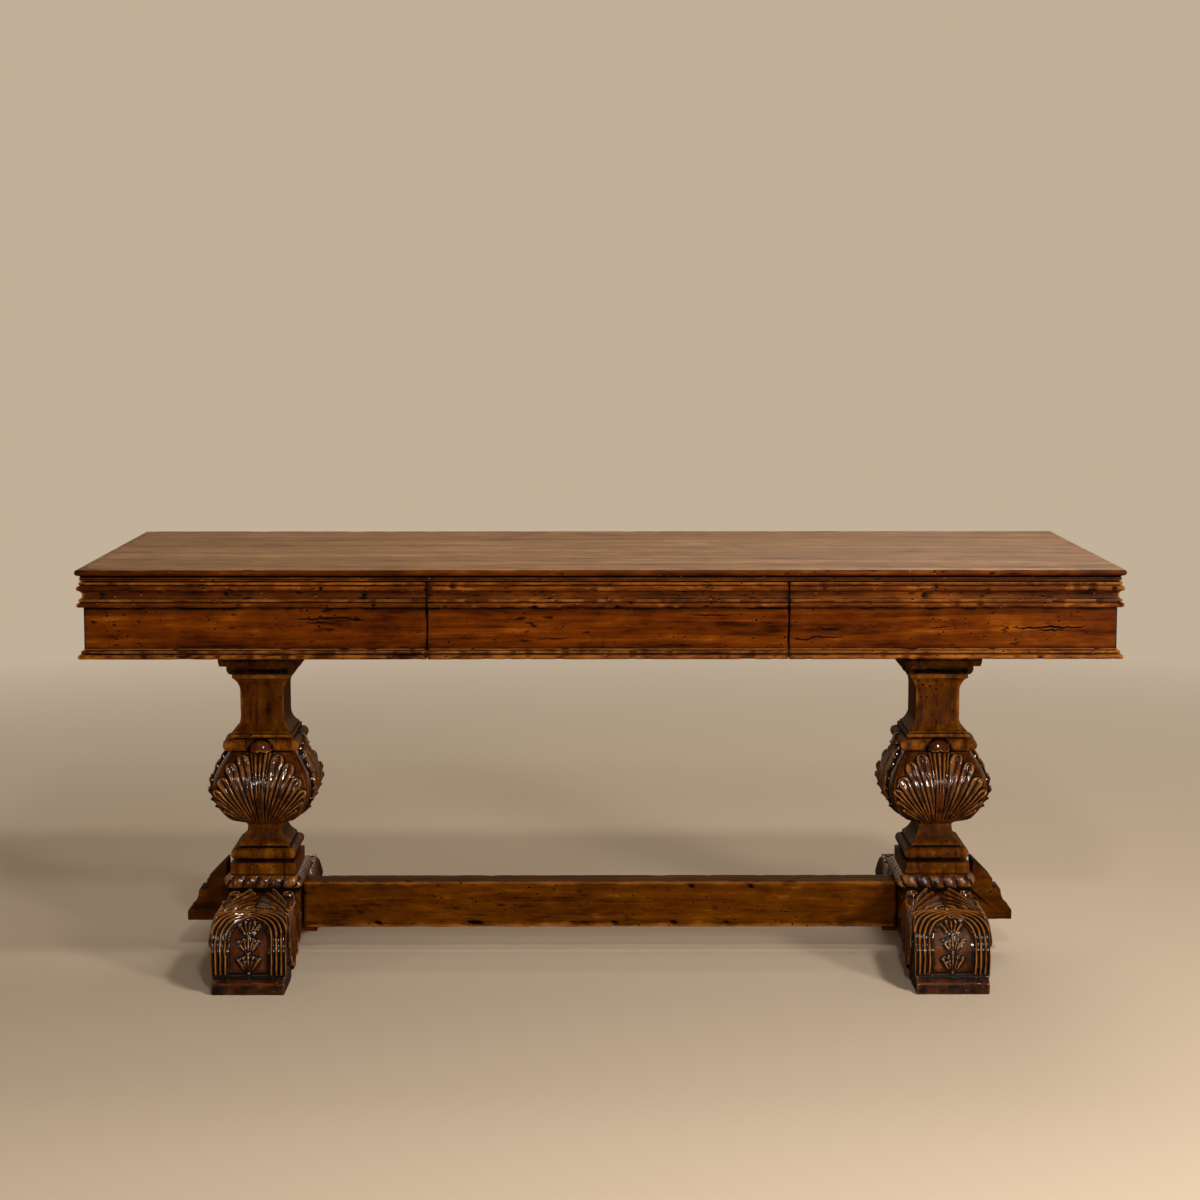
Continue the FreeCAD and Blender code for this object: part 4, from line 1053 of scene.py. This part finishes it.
# %% [markdown]
# The shell ends at the top under a small half-round cap that lies over the torus. A sphere is cut in
# half, flattened and its lower edge is drawn into two scallops. Four caps join the bulb.

# %% Shell caps
CAP_REACH = (88, 66)
for quarter in range(4):
    clear_selection()
    bpy.ops.mesh.primitive_uv_sphere_add(segments=64, ring_count=40, radius=1)
    cap = bpy.context.object
    bpy.ops.object.mode_set(mode="EDIT")
    bpy.ops.mesh.select_all(action="SELECT")
    bpy.ops.mesh.bisect(plane_co=(0, 0, -0.06), plane_no=(0, 0, 1), use_fill=True, clear_inner=True)
    bpy.ops.object.mode_set(mode="OBJECT")
    points = points_of(cap)
    lip = np.exp(-((points[:, 2] / 0.16) ** 2))
    points[:, 1] *= 1 + 0.28 * lip
    points[:, 2] += lip * (0.10 * np.cos(2 * np.pi * points[:, 0]) - 0.04)
    set_points(cap, points * CAP_HALF * np.array(MM))
    shift = Matrix.Translation((0, -CAP_REACH[quarter % 2] * MM, CAP_FOOT * MM))
    cap.data.transform(Matrix.Rotation(math.pi / 2 * quarter, 4, "Z") @ shift)
    cap.select_set(True)
    bulb.select_set(True)
    bpy.context.view_layer.objects.active = bulb
    bpy.ops.object.join()
wear_edges(bulb, 5, chip=0.5, wave=0.15)
height = points_of(bulb)[:, 2] / MM
# Painted shade in a thin band just under the torus
painted_shade_under_torus = 0.9 * ease(392, 399, height) * (np.abs(height - 399) < 1.5)
write_hollows(bulb, painted_shade_under_torus, rounds=9, deep=3.4, proud=0.85)
smooth_shade(bulb, 60)
stand_on_legs(bulb, "carved_shell_bulb_{}", "carved", "post_{}")
print("shell bulbs:", made[-2:])

# %% [markdown]
# ## Rope moulding
# Under the die runs a thick twisted cord of wood. Strands could be wound round a path, but this rope is
# carved from the solid and has a flat back. So a grid is wrapped round the plan with a half-round
# section, and the radius drops along slanted lines, which parts it into lobes. The twist is mirrored on
# the right leg.

# %% Rope moulding
ROPE_LOBES, ROPE_FOOT, ROPE_ROUND, ROPE_CORE, ROPE_CORNER = 24, 140.5, 12.5, 62.0, 6.0
rope, around, up = grid_points("rope_pattern", 520, 24)
turn = (up - 0.5) * math.pi
phase = around * ROPE_LOBES - 0.5 * turn / math.pi
lobe = np.abs(np.cos(np.pi * phase)) ** 0.5
bulge = ROPE_ROUND * (0.34 + 0.70 * lobe) * np.cos(turn)
core = np.full(len(up), ROPE_CORE)
x, y, out = rounded_plan(around, core, core + DEEPER, np.full(len(up), ROPE_CORNER))
height = ROPE_FOOT + 2 * ROPE_ROUND * ((1 + np.sin(turn)) / 2) ** 1.35
set_points(rope, np.stack([x + out[:, 0] * bulge, y + out[:, 1] * bulge, height], 1) * MM)
close_shell(rope)
wear_edges(rope, 8, chip=0.6, wave=0.2)
write_hollows(rope, 0, rounds=7, deep=2.2, proud=0.8)
smooth_shade(rope, 60)
stand_on_legs(rope, "carved_rope_{}", "carved", "rope_moulding_{}", mirrored=True)
print("rope mouldings:", made[-2:])

# %% [markdown]
# ## The scroll feet
# A foot has a rounded back, a framed panel with three husks on its front, nested ridges round the panel
# and folded leaves over the top and down the flanks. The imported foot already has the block, so a copy of
# it is merged, remeshed into small even faces, and carved by moving the points along their normals. One
# foot makes all four. The carving on the front is drawn flat: across the foot, and along a path up its
# front.


# %% Strokes of the foot carving
def along_path(y, z, path):
    """Distance along a path in the side view of the point that is nearest to each (y, z)."""
    best, where = np.full(len(y), 1e9), np.zeros(len(y))
    passed = 0.0
    for (y0, z0), (y1, z1) in zip(path[:-1], path[1:]):
        length = math.hypot(y1 - y0, z1 - z0)
        t = np.clip(((y - y0) * (y1 - y0) + (z - z0) * (z1 - z0)) / length**2, 0, 1)
        gap = np.hypot(y - y0 - t * (y1 - y0), z - z0 - t * (z1 - z0))
        where = np.where(gap < best, passed + t * length, where)
        best = np.minimum(best, gap)
        passed += length
    return where


def petal(x, s, foot, tilt, length, width):
    """A pointed leaf that starts at foot and leans by tilt degrees; 0 outside, 1 on its crest."""
    lean = math.radians(tilt)
    along = ((x - foot[0]) * math.sin(lean) + (s - foot[1]) * math.cos(lean)) / length
    side = (x - foot[0]) * math.cos(lean) - (s - foot[1]) * math.sin(lean)
    half = width / 2 * np.sin(np.pi * np.clip(along, 0, 1)) ** 0.7 + 1e-6
    return np.clip(1 - (side / half) ** 2, 0, 1) * (0.55 + 0.45 * np.clip(along, 0, 1))


def dome(x, s, spot, radius):
    return np.sqrt(np.clip(1 - ((x - spot[0]) ** 2 + (s - spot[1]) ** 2) / radius**2, 0, 1))


# %% Panel, ridges and leaves
PANEL_HALF, RIDGE, RIDGES_END, ARCH_FOOT, PANEL_FOOT = 37, 8.8, 89.8, 72, 6
GROUND, PANEL_GROUND = -2.2, -3.4
HUSKS = (15, 50, 83)
# Tilt, length and width of the leaves of a husk, and how far apart they start for each degree of tilt
HUSK_LEAVES = ((-30, 23, 7), (30, 23, 7), (-14, 24, 5.5), (14, 24, 5.5), (0, 25, 6.5))
HUSK_SPREAD = 0.2
# Upper outline of each of the two leaves over the foot; width, slant and bend of their ribs
LEAF_TOP = ((0, 256), (8, 276), (20, 300), (34, 286), (46, 246), (56, 200))
RIB, RIB_SLANT, RIB_BEND = 31, 1.2, 0.014
CURL = (49, 284)
# Place and radius of the beads in the panel and of the knot where the ridges meet
PANEL_BEADS = ((0, 9, 3.6), (0, 46, 3.6), (0, 79, 3.6), (-8, 112, 3.4), (8, 112, 3.4))
KNOT_BEADS = ((0, 172, 6), (-8, 164, 4.4), (8, 164, 4.4), (0, 154, 4.4))


def husk_panel(x, s, ring):
    """The sunk panel with its husks and beads."""
    height = PANEL_GROUND * ease(PANEL_HALF, PANEL_HALF - 2.5, ring)
    for start, (tilt, length, width) in itertools.product(HUSKS, HUSK_LEAVES):
        heel, lean = (tilt * HUSK_SPREAD, start), math.radians(tilt)
        height = np.maximum(height, PANEL_GROUND + 7.0 * petal(x, s, heel, tilt, length, width))
        tip = (heel[0] + length * math.sin(lean), start + length * math.cos(lean))
        height = np.maximum(height, PANEL_GROUND + 6.0 * dome(x, s, tip, width / 2))
    for *spot, radius in PANEL_BEADS:
        height = np.maximum(height, PANEL_GROUND + 6.0 * dome(x, s, spot, radius))
    return height


def top_leaves(x, s, ring):
    """Two ribbed leaves over the foot, with a curl beside each."""
    turn = ((s + RIB_SLANT * np.abs(x) + RIB_BEND * x**2) / RIB) % 1
    rim = ease(0, 5, ring - RIDGES_END) * ease(0, 4, np.interp(np.abs(x), *zip(*LEAF_TOP)) - s)
    belly = np.sin(np.pi * np.clip(np.abs(x) / 60, 0, 1))
    leaves = GROUND + rim * (1.6 + 2.4 * belly + 5.6 * np.sin(np.pi * turn) ** 1.6)
    spiral = np.hypot(np.abs(x) - CURL[0], s - CURL[1])
    curls = 5.5 * np.exp(-(((spiral - 8) / 2.6) ** 2)) + 5 * np.exp(-((spiral / 3) ** 2)) + GROUND
    return np.where(spiral < 13, curls, leaves)


def foot_front_relief(x, s):
    """Carving on the front and the back of a foot: across it and along its path, in millimetres."""
    over = np.clip(s - ARCH_FOOT, 0, None)
    ring = np.hypot(x, over * 0.84) - 7 * np.exp(-((x / 11) ** 2)) * ease(10, 45, over)
    ring = ring + 0.35 * np.sin(s / 11 + np.sign(x)) + 0.2 * np.sin(s / 5.3 + x / 9)
    turn = ((ring - PANEL_HALF) / RIDGE) % 1
    ridges = 5.4 * np.sin(np.pi * turn) ** 2.4 + GROUND
    height = np.where(ring < RIDGES_END, ridges, top_leaves(x, s, ring))
    height = np.where(ring < PANEL_HALF, husk_panel(x, s, ring), height)
    for *spot, radius in KNOT_BEADS:
        height = np.maximum(height, GROUND + 7.5 * dome(x, s, spot, radius))
    return height * ease(PANEL_FOOT - 3, PANEL_FOOT + 1, s) * ease(308, 296, s)


print("ridges round the panel:", round((RIDGES_END - PANEL_HALF) / RIDGE))

# %% Leaf on the flank
FLANK_EYE = (-196, 168)
# Angle, half angle and length of each lobe
FLANK_LOBES = (
    (-46, 8.8, 108), (-27, 8.8, 132), (-8, 8.8, 148), (11, 8.8, 152), (30, 8.8, 150), (48, 8.5, 134),
)


def foot_flank_relief(y, z):
    """Leaf that hangs down the flank, fanned out from a point over the foot."""
    reach = np.hypot(y - FLANK_EYE[0], z - FLANK_EYE[1])
    angle = np.degrees(np.arctan2(FLANK_EYE[0] - y, FLANK_EYE[1] - z))
    height = np.zeros(len(y))
    for middle, half, length in FLANK_LOBES:
        side = np.clip((angle - middle) / half, -1, 1)
        share = reach / (length * (1 - 0.16 * np.abs(side) ** 1.6))
        ridges = (1 - np.abs(side) ** 6) * (0.6 + 0.4 * np.abs(np.sin(np.pi * 1.5 * side)))
        rim = ease(0, 1, (1 - share) * length / 2.2)
        height = np.maximum(height, rim * ridges * (2.6 + 4.4 * np.clip(share, 0, 1)))
    return height


print("lobes on a flank:", len(FLANK_LOBES))

# %% Block of the foot
VOXEL = 0.0014
foot = bpy.data.objects.new("foot_pattern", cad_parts["foot_left_front"].data.copy())
bpy.context.scene.collection.objects.link(foot)
foot.data.transform(Matrix.Translation((LEG_X, 0, 0)))
close_shell(foot, fill=False)
remesh = foot.modifiers.new("even_faces", "REMESH")
remesh.mode = "VOXEL"
remesh.voxel_size = VOXEL
take_up(foot)
bpy.ops.object.modifier_apply(modifier=remesh.name)
bpy.ops.object.mode_set(mode="EDIT")
bpy.ops.mesh.select_all(action="SELECT")
bpy.ops.mesh.vertices_smooth(factor=0.5, repeat=3)
bpy.ops.object.mode_set(mode="OBJECT")
print("foot block of", len(foot.data.polygons), "faces")

# %% [markdown]
# The front carving fades out where the faces turn to the side, and the leaf of the flank takes over
# there. The pad under the foot stays plain, and its front slopes down a little.

# %% Feet
FOOT_PATH = [(-312, 27), (-318, 45), (-318, 76)] + bow((-318, 76), (-246, 130), -16.1, 12)
FOOT_PATH += bow((-246, 130), (-87.5, 138), 5.6, 10)
PAD_FRONT, PAD_BACK, PAD_TOP = -330, -312, 31
points, normals = points_of(foot), normals_of(foot)
x, y, z = points.T / MM
sideways = np.abs(normals[:, 0])
front_share = ease(0.80, 0.55, sideways)
front_share = front_share * ease(-0.25, 0.0, np.maximum(-normals[:, 1], normals[:, 2]))
flank_share = (1 - front_share) * ease(0.3, 0.7, sideways) * ease(8, 14, z) * ease(-326, -318, y)
lift = front_share * foot_front_relief(x, along_path(y, z, FOOT_PATH)) * ease(30, 36, z)
lift = (lift + flank_share * foot_flank_relief(y, z)) * ease(-86, -90, y)
points = points + normals * (lift * MM)[:, None]
slant = 0.31 * np.clip((PAD_BACK - y) / (PAD_BACK - PAD_FRONT), 0, 1)
points[:, 2] *= np.where(z < PAD_TOP, 1 - slant, 1)
set_points(foot, points)
wear_edges(foot, 13, chip=0.9, wave=0.2)
z = points_of(foot)[:, 2] / MM
# Glaze all over, darker towards the bottom of the pad, and painted shade at the rear end of the foot, under
# the rope
grime_and_shade = 0.2 + ease(30, 22, z) * (0.24 + 0.2 * rough(points, 0.012, 21)) + 0.8 * ease(-101, -94, y)
write_hollows(foot, grime_and_shade, rounds=9, deep=2.9, proud=0.85)
smooth_shade(foot, 70)
for leg, leg_x in LEGS.items():
    for end, turn in (("front", 0), ("rear", 180)):
        twin = copy_to(foot, f"carved_foot_{leg}_{end}", (leg_x, 0, 0), turn)
        put_in_place(twin, "carved", SLOT_CARVED, "table", f"foot_{leg}_{end}")
bpy.data.objects.remove(foot)
print("feet:", made[-4:], "of", len(twin.data.polygons), "faces")

# %% [markdown]
# ## Beam, brackets and hubs
# The low beam and the brackets are sawn from planks. A plain box with a bevel would do for the beam, but
# not for the curved bracket, and both should wear alike. So they are runs of one section too, with
# points all along the outline for the wear. The hub is one more stack, with painted shade under the rope.


# %% Beam
def between(start, end, share):
    return (start[0] + (end[0] - start[0]) * share, start[1] + (end[1] - start[1]) * share)


OUTLINE_CELL = 4.0


def soft_outline(corners, soft):
    """Closed outline with points every few millimetres and cut-off corners."""
    points = []
    for index, corner in enumerate(corners):
        following = corners[(index + 1) % len(corners)]
        for other in (corners[index - 1], following):
            points.append(between(corner, other, min(soft / math.dist(corner, other), 0.3)))
        leaving = points[-1]
        far = math.dist(leaving, following)
        for number in range(1, max(1, int((far - soft) / OUTLINE_CELL))):
            points.append(between(leaving, following, number * OUTLINE_CELL / far))
    return points


BEAM = [(-31, 52.5), (-31, 139.5), (31, 139.5), (31, 52.5)]
BEAM_RUN = (-0.5655, 0.5655)
shape = (soft_outline(BEAM, 1.6), 0, BEAM_RUN, (0, 0), 0, "front")
beam = run_moulding("worn_stretcher", *shape, seam=1.5, proud=0.6)
put_in_place(beam, "beam", SLOT_CARVED, "table", "stretcher")
print("beam of", len(beam.data.polygons), "faces")

# %% Brackets and hubs
BRACKET = [(65.5, 67), (150, 67), (150, 85)] + bow((150, 85), (128, 126), -5.2, 6)
BRACKET += [(113, 126), (113, 145), (79, 180), (75.5, 180), (75.5, 140), (65.5, 140)]
BRACKET_RUN = (-0.031, 0.031)
for leg, leg_x in LEGS.items():
    shape = (soft_outline(BRACKET, 1.2), 0, BRACKET_RUN, (0, 0), 0, leg)
    # The brackets are darkened all over as painted shade, where they stand behind the feet
    bracket = run_moulding(f"worn_bracket_{leg}", *shape, proud=0.05, grime_and_shade=0.26)
    bracket.data.transform(Matrix.Translation((leg_x, 0, 0)))
    put_in_place(bracket, "beam", SLOT_CARVED, "table", f"bracket_{leg}")


# Painted shade on the top of the hub, under the rope
def painted_shade_under_rope(points):
    return 1.1 * ease(126, 134, points[:, 2])


HUB = [(65.5, 42 + 98.5 * number / 20) for number in range(21)]
stand_on_legs(stack("hub_pattern", HUB, painted_shade_under_rope), "worn_hub_{}", "upright", "hub_{}")
print("beam, brackets and hubs:", made[-5:])

# %% [markdown]
# ## What stays plain
# Drawer boxes, rails, runners and bearers are seen only past an open drawer or from below, like the
# screws, bolts, pegs and cleats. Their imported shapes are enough, so they only get a finish: bare inner
# wood, walnut or oiled steel.

# %% Plain pieces
steel = bpy.data.materials.new("oiled_steel")
steel.use_nodes = True
tree = steel.node_tree
shader = tree.nodes["Principled BSDF"]
place = add_node(tree, "TexCoord").outputs["Object"]
spots = add_node(tree, "TexNoise", {"Vector": place, "Scale": 900, "Detail": 4}).outputs["Fac"]
tint = add_node(tree, "ValToRGB", {"Fac": spots})
tint.color_ramp.elements[0].color = (0.16, 0.15, 0.14, 1)
tint.color_ramp.elements[1].color = (0.36, 0.35, 0.34, 1)
tree.links.new(tint.outputs["Color"], shader.inputs["Base Color"])
tree.links.new(stretch(tree, spots, 0.3, 0.7, 0.3, 0.55), shader.inputs["Roughness"])
shader.inputs["Metallic"].default_value = 1.0
finishes["steel"] = steel

PLAIN = {
    "top_screws": "steel",
    "bearer_bolts": "steel",
    "stretcher_pegs": "long",
    "stretcher_cleats": "long",
}
plain = [node for node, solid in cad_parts.items() if not solid.hide_render]
for node in plain:
    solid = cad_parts[node]
    solid.data.materials.clear()
    solid.data.materials.append(finishes[PLAIN.get(node, "inner")])
print("plain pieces:", plain)
